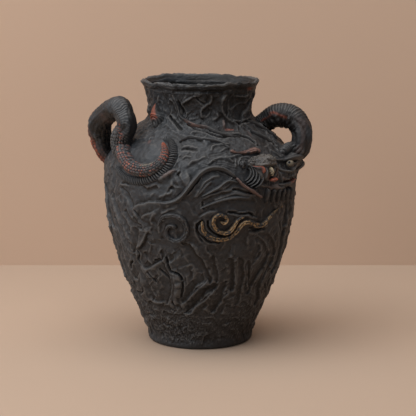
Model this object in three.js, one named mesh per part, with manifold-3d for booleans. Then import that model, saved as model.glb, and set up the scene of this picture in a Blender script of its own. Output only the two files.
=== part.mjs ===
// A hand-built two-handled stoneware jar, 300 mm tall, with a dragon laid on in relief.
// The pot is coil-built in rings that lap into one another on beds of slip. The dragon's body
// leaves the wall twice, as the two loop handles, and its face sits at the foot of the right one.
// Millimetres, +Z up, origin at the centre of the foot. Angles run round the jar in degrees from
// the front, which is -Y, towards +X. Heights of the relief are measured from the belly line.
import * as THREE from "three";
import { mergeVertices } from "three/addons/utils/BufferGeometryUtils.js";
import Module from "manifold-3d";

const wasm = await Module();
wasm.setup();

// The pot
const FOOT_RADIUS = 60.5;
const FOOT_THICKNESS = 12;
const FOOT_EDGE = 5;
const WAIST_RADIUS = 60.5;
const BELLY_RADIUS = 109.5;
const BELLY_HEIGHT = 188;
const SHOULDER_RISE = 76;
const NECK_RADIUS = 58.5;
const NECK_LENGTH = 36;
const RIM_RADIUS = 66;
const RIM_ROLL = 5;
const WALL = 9;

// The joints between the rings
const SLIP = 0.3;
const LAP = 5;
const KEY = 4;
const LOWER_RING = 92;
const BELLY_RING = 96;
const SHOULDER_JOINT_DROP = 4;
const RIM_COIL = 11;

// The loops of the dragon's body
const TAIL_LOOP_RADII = [8, 9.4, 11.9, 10.5, 13.9, 12.4, 12, 12.9, 10.8, 9.2, 8];
const NECK_LOOP_RADII = [9.5, 11.4, 13.6, 12.4, 11.3, 10];

// The dragon on the wall
const COIL_HALF = 7.5;
const COIL_PROUD = 7;
const CREST_LENGTH = 230;
const CREST_WIDTH = 8.5;
const CREST_PROUD = 2.6;
const CREST_RIBS = 34;
const FACE_PROUD = 11;
const NOSE_PROUD = 17;
const MUZZLE_PROUD = 13;
const BROW_PROUD = 14;
const LIP_PROUD = 11;
const FANG_PROUD = 16;
const EYE_RADIUS = 5.5;
const EYE_PROUD = 12;
const CHEEK_FOLD_CENTRE = [25.6, 23.5];
const CHEEK_FOLDS = 5;
const CHEEK_FOLD_START = 9;
const CHEEK_FOLD_PITCH = 3.4;
const BEARD_LOCKS = 6;
const BEARD_START = 41;
const BEARD_PITCH = 4.6;
const BUD_LENGTH = 24;
const BUD_HALF = 7;
const SMALL_FOLD_PROUD = 3;
const SMALL_FOLD_HALF = 2;
const CLOUD_PROUD = 4.2;
const CLOUD_HALF = 3.4;

// The marks of the potter's hand in the wall
const STROKE_CLEAR = 4;
const LEDGE_END_HALF = 1;
const LEDGE_END_RISE = 0.4;
const SIDE_STROKE_LENGTH = 38;
const SIDE_STROKE_HALF = 9;
const SIDE_STROKE_DEPTH = 3;
const SIDE_STROKE_LEAN = 28;
const SIDE_STROKE_PITCH = 26;
const SIDE_STROKE_ROW = 40;
const SIDE_STROKE_ROWS = 5;
const LOWEST_SIDE_STROKE = -146;
const FRONT_HALF_ANGLE = 68;
const DRESSED_HALF_ANGLE = 104;
const DRESSED_FROM = -10;

// Mesh fineness
const ROUND = 40;
const TUBE_SIDES = 12;
const FOLD_STEP = 7.5;
const FINE_STEP = 5;
const SPIRAL_STEP = 40;
const SUNK = 3;
const ROW = 15;
const FINE_ROW = 8;
const ARC_POINTS = 6;

const NECK_HEIGHT = BELLY_HEIGHT + SHOULDER_RISE;
const RIM_HEIGHT = NECK_HEIGHT + NECK_LENGTH;
const degrees = THREE.MathUtils.degToRad;

// The outer outline of the wall, as Bezier curves of radius and height from foot to rim
const LOWER_SLANT = 0.46;
const lowerPull = 0.35 * (BELLY_HEIGHT - FOOT_THICKNESS);
const outline = [
  new THREE.CubicBezierCurve(
    new THREE.Vector2(WAIST_RADIUS, FOOT_THICKNESS),
    new THREE.Vector2(WAIST_RADIUS + LOWER_SLANT * lowerPull, FOOT_THICKNESS + lowerPull),
    new THREE.Vector2(BELLY_RADIUS, BELLY_HEIGHT - lowerPull),
    new THREE.Vector2(BELLY_RADIUS, BELLY_HEIGHT),
  ),
  new THREE.CubicBezierCurve(
    new THREE.Vector2(BELLY_RADIUS, BELLY_HEIGHT),
    new THREE.Vector2(BELLY_RADIUS, BELLY_HEIGHT + 0.66 * SHOULDER_RISE),
    new THREE.Vector2(NECK_RADIUS, NECK_HEIGHT - 0.24 * SHOULDER_RISE),
    new THREE.Vector2(NECK_RADIUS, NECK_HEIGHT),
  ),
  new THREE.CubicBezierCurve(
    new THREE.Vector2(NECK_RADIUS, NECK_HEIGHT),
    new THREE.Vector2(NECK_RADIUS, NECK_HEIGHT + 0.33 * NECK_LENGTH),
    new THREE.Vector2(RIM_RADIUS - 0.09 * NECK_LENGTH, RIM_HEIGHT - 0.3 * NECK_LENGTH),
    new THREE.Vector2(RIM_RADIUS, RIM_HEIGHT),
  ),
];

// The share of a curve at which it reaches a height: height rises all the way along each curve
function shareAtHeight(curve, height) {
  let low = 0;
  let high = 1;
  for (let i = 0; i < 40; i++) {
    const middle = (low + high) / 2;
    if (curve.getPoint(middle).y < height) low = middle;
    else high = middle;
  }
  return (low + high) / 2;
}

function curveAtHeight(height) {
  return outline.find((curve) => height <= curve.v3.y) ?? outline[outline.length - 1];
}

// The outline's point at a height, moved out along its normal by lift
function outlinePoint(height, lift = 0) {
  const curve = curveAtHeight(height);
  const share = shareAtHeight(curve, height);
  const tangent = curve.getTangent(share);
  const point = curve.getPoint(share);
  return new THREE.Vector2(point.x + tangent.y * lift, point.y - tangent.x * lift);
}

// Radius and outward normal of the wall at a place on it
function wallAt(angle, height, lift = 0) {
  const curve = curveAtHeight(height);
  const share = shareAtHeight(curve, height);
  const slope = curve.getTangent(share);
  const radius = curve.getPoint(share).x;
  const round = degrees(angle);
  const outward = new THREE.Vector3(Math.sin(round), -Math.cos(round), 0);
  const normal = outward.clone().multiplyScalar(slope.y).setZ(-slope.x).normalize();
  const point = outward.multiplyScalar(radius).setZ(height).addScaledVector(normal, lift);
  return { point, normal };
}

// The place on the wall beside a point in space, lifted off it along the normal
function seat(point, lift) {
  const angle = THREE.MathUtils.radToDeg(Math.atan2(point.x, -point.y));
  return wallAt(angle, point.z, lift);
}

function solidOf(geometry) {
  const bare = geometry.index ? geometry.toNonIndexed() : geometry.clone();
  bare.deleteAttribute("normal");
  bare.deleteAttribute("uv");
  const merged = mergeVertices(bare, 1e-3);
  return new wasm.Manifold(
    new wasm.Mesh({
      numProp: 3,
      vertProperties: new Float32Array(merged.attributes.position.array),
      triVerts: new Uint32Array(merged.index.array),
    }),
  );
}

function geometryOf(solid) {
  const made = solid.getMesh();
  const corners = new Float32Array(made.numVert * 3);
  for (let i = 0; i < made.numVert; i++)
    corners.set(made.vertProperties.subarray(i * made.numProp, i * made.numProp + 3), i * 3);
  const geometry = new THREE.BufferGeometry();
  geometry.setAttribute("position", new THREE.BufferAttribute(corners, 3));
  geometry.setIndex(new THREE.BufferAttribute(made.triVerts, 1));
  geometry.computeVertexNormals();
  return geometry;
}

// A closed outline of radius and height, turned about the jar's axis
function turned(profile) {
  const closed = [...profile, profile[0]];
  return new THREE.LatheGeometry(closed, ROUND).rotateX(Math.PI / 2);
}

// A closed skin through rings of equal point counts, capped flat at both ends
function loft(rings) {
  const count = rings[0].length;
  const last = (rings.length - 1) * count;
  const index = [];
  for (let i = 0; i < last; i += count)
    for (let j = 0; j < count; j++) {
      const here = i + j;
      const next = i + ((j + 1) % count);
      index.push(here, next, next + count, here, next + count, here + count);
    }
  for (let j = 1; j + 1 < count; j++) {
    index.push(0, j + 1, j);
    index.push(last, last + j, last + j + 1);
  }
  const geometry = new THREE.BufferGeometry().setFromPoints(rings.flat());
  geometry.setIndex(index);
  return geometry;
}

// A list of values read at a share of its length, with straight lines between them
function along(values, share) {
  const place = share * (values.length - 1);
  const before = Math.min(Math.floor(place), values.length - 2);
  return THREE.MathUtils.lerp(values[before], values[before + 1], place - before);
}

// The section of a laid-on strip above the wall: across in half widths, out in heights
const STRIP_SECTION = [
  [1, 0.08],
  [0.8, 0.62],
  [0.36, 1],
  [-0.36, 1],
  [-0.8, 0.62],
  [-1, 0.08],
];

// A strip of clay along a route of [angle, height above the belly], its foot sunk in the wall
function strip(route, half, proud, { closer = 0, step = FOLD_STEP, widths = null } = {}) {
  const places = route.map(([angle, rise]) => wallAt(angle, BELLY_HEIGHT + rise).point);
  const curve = new THREE.CatmullRomCurve3(places, false, "centripetal");
  const steps = Math.max(4, Math.ceil(curve.getLength() / step));
  const rings = [];
  for (let i = 0; i <= steps; i++) {
    const share = i / steps;
    const tangent = curve.getTangentAt(share);
    const past = i === 0 ? -closer : i === steps ? closer : 0;
    const middle = curve.getPointAt(share).addScaledVector(tangent, past);
    const { normal } = seat(middle, 0);
    const side = new THREE.Vector3().crossVectors(normal, tangent).normalize();
    const reach = along(half, share) * (widths ? widths(i) : 1) + closer;
    const rise = along(proud, share) + closer;
    const across = (s, lift) => seat(middle.clone().addScaledVector(side, s * reach), lift).point;
    rings.push([
      across(-1, -SUNK),
      across(1, -SUNK),
      ...STRIP_SECTION.map(([s, h]) => across(s, h * rise)),
    ]);
  }
  return solidOf(loft(rings));
}

// The finger strokes and the folded ledges of the front, read from the photograph. A stroke has
// its half width, its depth and its route of [angle, height above the belly], and is deepest
// along the left of its route. A ledge has its half width, its rise and its route.
const FRONT_STROKES = [
  [7, 3.4, [[-9.5, -62], [-5, -74], [-0.5, -84.5], [4.5, -99]]],
  [5, 2.8, [[0.5, -97], [-5.5, -105], [-9.5, -114], [-13, -125]]],
  [6, 3.2, [[10, -107], [2.3, -114.5], [-3, -123.5], [-11, -138]]],
  [6, 2.4, [[17, -107], [13.9, -120.5], [10, -135]]],
  [4.5, 2.2, [[19.5, -79], [21.2, -95.5], [22.8, -111]]],
  [5, 2, [[26.5, -80], [29, -100], [30, -131]]],
  [4.5, 2.2, [[32.5, -83], [35.2, -100.5], [37.6, -120]]],
  [5.5, 2.6, [[50.5, -75], [43, -96], [39, -110]]],
  [5.5, 2.4, [[55, -84], [50, -100.5], [48.2, -114.5], [54, -136]]],
  [7.5, 3, [[-28.5, -84], [-25.6, -97.5], [-25.3, -109.5], [-30, -128]]],
  [7.5, 2.6, [[-48, -89], [-43.6, -106], [-41.5, -124]]],
  [7.5, 2.8, [[-65, -75], [-63.5, -95], [-59.5, -115]]],
  [7, 2.6, [[-63, -119], [-65, -134.5], [-65, -153]]],
  [6.5, 2.6, [[-45, -138], [-36, -139], [-26, -138.5]]],
  [5.5, 2.2, [[-52, -68], [-49, -86], [-54, -104]]],
  [6, 2.2, [[62, -56], [66, -78], [64, -101]]],
  [6.5, 2, [[-62, 16], [-62, 3], [-64.5, -12]]],
  [7, 2.6, [[-62.5, -15], [-58, -30], [-50, -45]]],
  [6.5, 2.4, [[-62.5, -44], [-56, -57], [-50, -71]]],
  [6, 2.2, [[-42.5, -35], [-42, -51], [-48, -70]]],
  [5.5, 2, [[39.5, -49], [48, -60], [56, -76]]],
  [6, 2, [[58, -14], [63, -30], [61.5, -44]]],
  [10, 3, [[60, 90], [50, 84], [45, 74]]],
];
const FRONT_LEDGES = [
  [3.4, 2.4, [[11, -110.5], [3, -124.5], [-7.2, -136.5], [-12.5, -142.5]]],
  [3, 2, [[5.7, -99], [0.4, -107], [-7.4, -119]]],
  [3.4, 2, [[-26.7, -129], [-34, -130], [-42, -128.5]]],
  [3, 1.6, [[-44, -69], [-40, -65], [-36, -58], [-34, -52], [-31, -44]]],
];

// Round the sides and the back the strokes lie in staggered rows and lean to and fro. High up
// they keep clear of the face and of the handles' feet.
function sideStrokes() {
  const made = [];
  for (let row = 0; row < SIDE_STROKE_ROWS; row++) {
    const rise = LOWEST_SIDE_STROKE + SIDE_STROKE_ROW * row;
    const perDegree = degrees(outlinePoint(BELLY_HEIGHT + rise).x);
    const step = SIDE_STROKE_PITCH / perDegree;
    const clear = rise < DRESSED_FROM ? FRONT_HALF_ANGLE : DRESSED_HALF_ANGLE;
    const first = clear + (row % 2 ? step : step / 2);
    for (let angle = first; angle < 360 - clear; angle += step) {
      const lean = degrees(SIDE_STROKE_LEAN * Math.sin(2.1 * row + angle));
      const up = (SIDE_STROKE_LENGTH / 2) * Math.cos(lean);
      const aside = ((SIDE_STROKE_LENGTH / 2) * Math.sin(lean)) / perDegree;
      const uneven = Math.sin(3.7 * row + 2 * angle);
      made.push([
        SIDE_STROKE_HALF + uneven,
        SIDE_STROKE_DEPTH + uneven / 2,
        [
          [angle - aside, rise - up],
          [angle, rise],
          [angle + aside, rise + up],
        ],
      ]);
    }
  }
  return made;
}

// The hollow of a stroke: the sides of its mouth in half widths, its floor in half widths across
// and depths down, and how far each of its sections reaches across and down on the way along it
const STROKE_MOUTH = [1.4, -2.4];
const STROKE_FLOOR = [
  [-0.1, 0.62],
  [0.7, 1],
];
const STROKE_SECTIONS = [
  [0, 0.6, -0.5],
  [0.25, 1, 1],
  [0.75, 1, 1],
  [1, 0.6, -0.5],
];

function strokeHollow([half, depth, route]) {
  const places = route.map(([angle, rise]) => wallAt(angle, BELLY_HEIGHT + rise).point);
  const curve = new THREE.CatmullRomCurve3(places, false, "centripetal");
  const rings = STROKE_SECTIONS.map(([share, across, down]) => {
    const middle = curve.getPointAt(share);
    const { normal } = seat(middle, 0);
    const side = new THREE.Vector3().crossVectors(normal, curve.getTangentAt(share)).normalize();
    const at = (s, lift) =>
      seat(middle.clone().addScaledVector(side, s * across * half), lift).point;
    return [
      ...STROKE_MOUTH.map((s) => at(s, STROKE_CLEAR)),
      ...STROKE_FLOOR.map(([s, sunk]) => at(s, -sunk * depth * down)),
    ];
  });
  return solidOf(loft(rings));
}

// A tube through points of [angle, inset from the belly radius, height above the belly]
function loop(points, radii, closer = 0) {
  const places = points.map(([angle, inset, rise]) => {
    const round = degrees(angle);
    const radius = BELLY_RADIUS - inset;
    return new THREE.Vector3(
      radius * Math.sin(round),
      -radius * Math.cos(round),
      BELLY_HEIGHT + rise,
    );
  });
  const curve = new THREE.CatmullRomCurve3(places, false, "centripetal");
  const steps = Math.ceil(curve.getLength() / FOLD_STEP);
  const frames = curve.computeFrenetFrames(steps, false);
  const rings = [];
  for (let i = 0; i <= steps; i++) {
    const middle = curve.getPointAt(i / steps);
    const radius = along(radii, i / steps) + closer;
    rings.push(
      Array.from({ length: TUBE_SIDES }, (_, j) => {
        const turn = (2 * Math.PI * j) / TUBE_SIDES;
        return middle
          .clone()
          .addScaledVector(frames.normals[i], radius * Math.cos(turn))
          .addScaledVector(frames.binormals[i], radius * Math.sin(turn));
      }),
    );
  }
  return solidOf(loft(rings));
}

// A rounded lump on the wall: half sizes round the jar, up it and out of it, turned in its plane
function lump(angle, rise, halfRound, halfUp, proud, { turn = 0, lift = 0, closer = 0 } = {}) {
  const { point, normal } = wallAt(angle, BELLY_HEIGHT + rise, lift);
  const round = new THREE.Vector3(Math.cos(degrees(angle)), Math.sin(degrees(angle)), 0);
  const up = new THREE.Vector3().crossVectors(normal, round);
  const geometry = new THREE.SphereGeometry(1, 14, 8);
  geometry.scale(halfRound + closer, halfUp + closer, proud + closer);
  geometry.rotateZ(degrees(turn));
  geometry.applyMatrix4(new THREE.Matrix4().makeBasis(round, up, normal).setPosition(point));
  return solidOf(geometry);
}

// Each joint keeps SLIP between its faces: the ring below has the outer lip, the one above the tongue
const SHOULDER_RING_TOP = NECK_HEIGHT - SHOULDER_JOINT_DROP;
const RING_JOINTS = [
  FOOT_THICKNESS + LOWER_RING,
  FOOT_THICKNESS + LOWER_RING + BELLY_RING,
  SHOULDER_RING_TOP,
  RIM_HEIGHT - RIM_COIL,
];

// The wall's face from one height to another, moved out by lift: its ends lie at those heights
function face(from, to, lift) {
  const row = Math.max(from, to) > RING_JOINTS[1] ? FINE_ROW : ROW;
  const steps = Math.max(2, Math.round(Math.abs(to - from) / row));
  return Array.from({ length: steps + 1 }, (_, i) => {
    const height = THREE.MathUtils.lerp(from, to, i / steps);
    const point = outlinePoint(height, lift);
    if (i === 0 || i === steps) point.y = height;
    return point;
  });
}

const middleRadius = (height) => outlinePoint(height).x - WALL / 2;

// A ring of the wall between two joints, with a tongue below and a lip above
function wallRing(bottom, top, { tongue = true, lip = true } = {}) {
  const profile = [];
  profile.push(...face(bottom + SLIP / 2, top - (lip ? SLIP / 2 : 0), 0));
  if (lip) {
    const step = middleRadius(top) + SLIP / 2;
    profile.push(new THREE.Vector2(step, top - SLIP / 2));
    profile.push(new THREE.Vector2(step, top - LAP - SLIP / 2));
  }
  const innerTop = lip ? top - LAP - SLIP / 2 : top;
  const innerBottom = tongue ? bottom - LAP + SLIP / 2 : bottom + SLIP / 2;
  profile.push(...face(innerTop, innerBottom, -WALL));
  if (tongue) {
    const step = middleRadius(bottom) - SLIP / 2;
    profile.push(new THREE.Vector2(step, bottom - LAP + SLIP / 2));
    profile.push(new THREE.Vector2(step, bottom + SLIP / 2));
  }
  return modelled(turned(profile), bottom, top);
}

// Models a ring by hand: its ledges are laid on and its finger strokes pressed in
function modelled(geometry, bottom, top) {
  const reached = ([, , route]) =>
    route.some(([, rise]) => Math.abs(2 * (BELLY_HEIGHT + rise) - bottom - top) < top - bottom);
  let solid = solidOf(geometry);
  for (const [half, rise, route] of FRONT_LEDGES.filter(reached)) {
    const halves = [LEDGE_END_HALF, half, half, LEDGE_END_HALF];
    const rises = [LEDGE_END_RISE, rise, rise, LEDGE_END_RISE];
    solid = solid.add(strip(route, halves, rises, { step: ROW }));
  }
  for (const mark of [...FRONT_STROKES, ...sideStrokes()].filter(reached))
    solid = solid.subtract(strokeHollow(mark));
  return geometryOf(solid);
}

// The base: a disc with a rounded edge and a raised key that the lowest ring sits round
function footSlab() {
  const key = outlinePoint(FOOT_THICKNESS).x - WALL - 2 * SLIP;
  const edge = [0, 1, 2, 3].map((i) => {
    const turn = (i / 3) * (Math.PI / 2);
    return new THREE.Vector2(
      FOOT_RADIUS - FOOT_EDGE * (1 - Math.sin(turn)),
      FOOT_EDGE * (1 - Math.cos(turn)),
    );
  });
  return turned([
    new THREE.Vector2(0, 0),
    ...edge,
    new THREE.Vector2(WAIST_RADIUS, FOOT_THICKNESS - SLIP / 2),
    new THREE.Vector2(key, FOOT_THICKNESS - SLIP / 2),
    new THREE.Vector2(key, FOOT_THICKNESS + KEY),
    new THREE.Vector2(0, FOOT_THICKNESS + KEY),
  ]);
}

// The lip: the top coil of clay, rolled out over the neck and rounded
function rimCoil() {
  const bottom = RING_JOINTS[3];
  const outer = outlinePoint(RIM_HEIGHT).x + RIM_ROLL / 2;
  const inner = outlinePoint(RIM_HEIGHT).x - WALL;
  const roll = (RIM_HEIGHT - bottom) / 2;
  const crown = [0, 1, 2, 3, 4].map((i) => {
    const turn = (i / 4) * Math.PI;
    return new THREE.Vector2(
      (outer + inner) / 2 + ((outer - inner) / 2) * Math.cos(turn),
      RIM_HEIGHT - roll * (1 - Math.sin(turn)),
    );
  });
  const step = middleRadius(bottom) - SLIP / 2;
  return turned([
    new THREE.Vector2(outlinePoint(bottom).x, bottom + SLIP / 2),
    ...crown,
    new THREE.Vector2(outlinePoint(bottom, -WALL).x, bottom - LAP + SLIP / 2),
    new THREE.Vector2(step, bottom - LAP + SLIP / 2),
    new THREE.Vector2(step, bottom + SLIP / 2),
  ]);
}

// The whole pot filled in and a slip bed larger: what every piece laid on it is cut back by
function filledPot() {
  const heights = [FOOT_THICKNESS, ...RING_JOINTS, RIM_HEIGHT];
  const sides = heights.slice(1).flatMap((top, i) => face(heights[i], top, 1.5 * SLIP));
  const once = sides.filter((point, i) => i === 0 || point.y > sides[i - 1].y);
  return solidOf(
    turned([new THREE.Vector2(0, FOOT_THICKNESS), ...once, new THREE.Vector2(0, RIM_HEIGHT)]),
  );
}

const jar = new THREE.Group();
const glaze = { color: 0x2c2c2f, roughness: 0.55, metalness: 0 };
const finishes = {
  charcoal_glaze: new THREE.MeshStandardMaterial(glaze),
  smooth_charcoal: new THREE.MeshStandardMaterial({ ...glaze, color: 0x38383a, roughness: 0.5 }),
  red_slip: new THREE.MeshStandardMaterial({ ...glaze, color: 0xa04830, roughness: 0.65 }),
  rose_slip: new THREE.MeshStandardMaterial({ ...glaze, color: 0x8a6258, roughness: 0.65 }),
  bone_slip: new THREE.MeshStandardMaterial({ ...glaze, color: 0xa89878, roughness: 0.5 }),
  gilt: new THREE.MeshStandardMaterial({ color: 0x9a7440, roughness: 0.45, metalness: 0.4 }),
};

function add(name, geometry, finish = "charcoal_glaze") {
  const mesh = new THREE.Mesh(geometry, finishes[finish]);
  mesh.name = name;
  jar.add(mesh);
}

const pot = filledPot();
const laidOn = [];

// Lays a piece on the pot: make(closer) gives its solid, closer mm fatter. It is cut back by the
// pot and by each piece already laid that it touches, and keeps a bed of slip to them. A crumb
// that the cut leaves loose is dropped.
function lay(name, make, finish) {
  let solid = make(0).subtract(pot);
  for (const other of laidOn) solid = solid.subtract(other);
  const largest = solid.decompose().sort((a, b) => b.volume() - a.volume())[0];
  laidOn.push(make(SLIP));
  add(name, geometryOf(largest), finish);
}

function layStrip(name, route, half, proud, finish, options = {}) {
  lay(name, (closer) => strip(route, half, proud, { ...options, closer }), finish);
}

function layLump(name, place, halves, finish, options = {}) {
  lay(name, (closer) => lump(...place, ...halves, { ...options, closer }), finish);
}

function buildPot() {
  const [lowerTop, bellyTop, shoulderTop, neckTop] = RING_JOINTS;
  add("foot_slab", footSlab());
  add("lower_wall", wallRing(FOOT_THICKNESS, lowerTop, { tongue: false }));
  add("belly_wall", wallRing(lowerTop, bellyTop));
  add("shoulder_wall", wallRing(bellyTop, shoulderTop));
  add("neck_collar", wallRing(shoulderTop, neckTop));
  add("rim_coil", rimCoil());
}

// The two handles: the dragon's body where it stands clear of the wall
function buildHandles() {
  const tailLoop = [
    [-60, 15, 31],
    [-63, 12, 39.5],
    [-64.1, 11.2, 47],
    [-61.3, 11.6, 54.8],
    [-58.5, 13.7, 63],
    [-58.3, 14.4, 70.8],
    [-61, 14.7, 77],
    [-65.3, 13.7, 81.9],
    [-71.7, 10.8, 82.6],
    [-79.1, 4.1, 76.8],
    [-85.4, -2.5, 67],
    [-90, -5.5, 56.8],
    [-92.5, -4.1, 44.7],
    [-94.1, -1.7, 32.7],
    [-95.5, 5.8, 20.8],
    [-96, 13.2, 10.4],
  ];
  const neckLoop = [
    [93, 52, 50],
    [92, 36.4, 62.3],
    [89.5, 25.7, 69.6],
    [87.5, 13.9, 72.5],
    [85.6, 4.7, 70],
    [83, -2.8, 63.8],
    [81.5, -6.9, 56],
    [80, -7.6, 47.3],
    [80.1, -4.1, 37.1],
    [81.1, 7.5, 26.5],
  ];
  lay("tail_loop_handle", (closer) => loop(tailLoop, TAIL_LOOP_RADII, closer));
  lay("neck_loop_handle", (closer) => loop(neckLoop, NECK_LOOP_RADII, closer));
}

// The coil of the body on the front of the shoulder, and the crest of spines round it
function buildCoil() {
  const spine = [
    [-27, 48.5],
    [-23.6, 41.5],
    [-22.6, 34.5],
    [-25, 27],
    [-30.2, 22],
    [-36.5, 20.8],
    [-44.4, 23.5],
    [-51.2, 29.5],
    [-57.4, 36],
  ];
  const crest = [
    [-31, 54.5],
    [-24, 52.4],
    [-19.2, 46.3],
    [-17.6, 38.8],
    [-18.6, 30],
    [-22.2, 21.7],
    [-28, 14.1],
    [-35.8, 9.7],
    [-46, 9.7],
    [-54.2, 14.4],
    [-62.6, 22.1],
  ];
  const coilHalf = [COIL_HALF / 2, COIL_HALF - 1.5, COIL_HALF, COIL_HALF, COIL_HALF + 0.5];
  layStrip("body_coil", spine, coilHalf, [COIL_PROUD - 3, COIL_PROUD, COIL_PROUD + 2]);
  layStrip(
    "dorsal_crest",
    crest,
    [CREST_WIDTH / 3, CREST_WIDTH / 2, CREST_WIDTH / 2, CREST_WIDTH / 3],
    [CREST_PROUD / 2, CREST_PROUD, CREST_PROUD, CREST_PROUD / 2],
    "charcoal_glaze",
    { step: CREST_LENGTH / (2 * CREST_RIBS), widths: (i) => (i % 2 ? 0.74 : 1) },
  );
}

// The tip of the tail, a ribbed bud that stands against the root of the neck
function buildTailTip() {
  const middle = SHOULDER_RISE;
  const route = [
    [-52, middle + BUD_LENGTH / 2],
    [-50, middle + BUD_LENGTH / 8],
    [-45, middle - BUD_LENGTH / 2],
  ];
  const half = [1, BUD_HALF * 0.7, BUD_HALF, BUD_HALF * 0.8, 2];
  layStrip("tail_tip", route, half, [3, 9, 10, 8, 3], "red_slip", { step: FINE_STEP });
}

// An elliptical arc round a place on the wall, as a route of [angle, height above the belly]
function arc([angle, rise], acrossRadius, upRadius, from, sweep) {
  const perDegree = degrees(BELLY_RADIUS);
  return Array.from({ length: ARC_POINTS }, (_, i) => {
    const turn = degrees(from + (sweep * i) / (ARC_POINTS - 1));
    return [
      angle + (acrossRadius * Math.cos(turn)) / perDegree,
      rise + upRadius * Math.sin(turn),
    ];
  });
}

// The face, which looks out between the belly and the foot of the right handle
function buildFace() {
  layLump("right_eye", [60, 20.8], [EYE_RADIUS, EYE_RADIUS, EYE_PROUD], "bone_slip");
  layLump("left_eye", [26.8, 28.4], [EYE_RADIUS, EYE_RADIUS, EYE_PROUD / 2]);
  layLump("fang", [41.4, 17], [2.6, 4.6, FANG_PROUD], "bone_slip");
  layLump("tongue_tip", [42.8, 9.8], [4.6, 2.4, LIP_PROUD + 2], "red_slip");
  const upperLip = [
    [31.4, 25.6],
    [34.4, 24],
    [37, 21.2],
    [38, 16.6],
  ];
  const lipRise = [LIP_PROUD - 4, LIP_PROUD, LIP_PROUD - 2];
  layStrip("upper_lip", upperLip, [1.4, 2, 1.8], lipRise, "red_slip", { step: FINE_STEP });
  layLump("nose", [41, 29.5], [14, 7.5, NOSE_PROUD], "smooth_charcoal", { turn: -14 });
  layLump("muzzle", [46.5, 15], [10, 13, MUZZLE_PROUD], "charcoal_glaze", { turn: 12 });
  const rightBrow = [
    [48.6, 29.6],
    [53.8, 27.4],
    [64.6, 25.6],
    [77, 23],
    [90, 20],
  ];
  layStrip("right_brow", rightBrow, [1.8, 2.4, 2.8, 2.8, 2], [BROW_PROUD - 3, BROW_PROUD]);
  const leftBrow = [
    [20.8, 42.4],
    [24.5, 39.9],
    [29, 39.3],
    [33.4, 39.4],
    [37.6, 40],
    [42.4, 37.4],
  ];
  const flame = [SMALL_FOLD_HALF, 1.8, 3, 4.4, SMALL_FOLD_HALF];
  layStrip("left_brow", leftBrow, flame, [3.5, 4.5, 6, 7], "rose_slip", { step: FINE_STEP });
  const tuft = [
    [62, 33],
    [70, 34.5],
    [79, 34.5],
    [89, 31],
  ];
  layStrip("forehead_tuft", tuft, [3, 5, 5, 4], [BROW_PROUD - 5, BROW_PROUD - 1, BROW_PROUD - 2]);
  layLump("right_cheek", [61, 10], [18, 8.5, FACE_PROUD], "charcoal_glaze", { turn: 8 });
  const lowerLip = [
    [47.5, 3.2],
    [54, 2],
    [60.5, 2],
    [67, 4],
  ];
  const lowerLipRise = [LIP_PROUD - 2, LIP_PROUD - 1, LIP_PROUD - 4];
  layStrip("lower_lip", lowerLip, [2, 2.6, 2.6, 1.6], lowerLipRise, "red_slip");
  for (let i = 0; i < CHEEK_FOLDS; i++) {
    const radius = CHEEK_FOLD_START + CHEEK_FOLD_PITCH * i;
    const route = arc(CHEEK_FOLD_CENTRE, radius, 0.85 * radius, 0, -72);
    const rise = SMALL_FOLD_PROUD + 0.5 * i;
    const half = [0.9, 1.3, 0.9];
    const proud = [rise - 1, rise, rise - 1];
    layStrip("cheek_fold_" + (i + 1), route, half, proud, "charcoal_glaze", { step: FINE_STEP });
  }
  for (let i = 0; i < BEARD_LOCKS; i++) {
    const angle = BEARD_START + BEARD_PITCH * i;
    const lock = [
      [angle, 0.5 - 0.6 * i],
      [angle, -7],
      [angle + 0.6 * i, -16 - 0.6 * i],
    ];
    layStrip("beard_lock_" + (i + 1), lock, [2, 2.6, 1.2], [5, 4.5, 2]);
  }
}

// The long whisker that sweeps back over the belly, with its root standing proud under the mouth
function buildWhisker() {
  const root = [
    [37.5, -8.4],
    [31.2, -0.6],
    [25.6, 6.1],
    [21.4, 13.5],
  ];
  layStrip("whisker_root", root, [2, 2.6, 2.4, 2], [5, 6, 5, 4], "rose_slip");
  const sweep = [
    [21.3, 15.5],
    [16.5, 22],
    [11.8, 25.4],
    [6, 25.1],
    [1.4, 21.5],
    [-2.6, 14],
    [-6.6, 4.3],
    [-10.6, -4.6],
    [-15, -9.9],
    [-20, -12],
    [-26, -11.6],
  ];
  layStrip("whisker", sweep, [2, 2.8, 3, 2.6, 1.6], [3.5, 5, 5, 4, 1.5]);
}

// Locks of mane blown back over the shoulder, and folds of cloud between them and the whisker
function buildMane() {
  const locks = [
    [
      [-26.4, 98],
      [-25, 93],
      [-23, 86.4],
      [-20.6, 77.5],
      [-14.6, 71.8],
      [-5.6, 67.6],
      [7, 64.8],
      [13.5, 61],
      [21, 57.5],
      [35, 54.5],
    ],
    [
      [-16, 51.5],
      [-8, 55.5],
      [4, 53.5],
      [16, 50.5],
      [21, 44],
    ],
    [
      [58, 70],
      [68, 63],
      [76, 55],
      [80, 46],
    ],
    [
      [50, 60],
      [58, 52],
      [64, 43],
    ],
  ];
  const folds = [
    [
      [22.5, 10],
      [16, 12],
      [11, 6],
      [6, 1],
      [1, -4],
    ],
    [
      [31, -9],
      [22, -6],
      [13, -8],
      [5, -13],
      [0, -17],
    ],
  ];
  const half = [SMALL_FOLD_HALF / 2, SMALL_FOLD_HALF, SMALL_FOLD_HALF, SMALL_FOLD_HALF / 2];
  const proud = [SMALL_FOLD_PROUD / 2, SMALL_FOLD_PROUD, SMALL_FOLD_PROUD, SMALL_FOLD_PROUD / 2];
  locks.forEach((route, i) => layStrip("mane_lock_" + (i + 1), route, half, proud));
  folds.forEach((route, i) => layStrip("wave_fold_" + (i + 1), route, half, proud));
}

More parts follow.
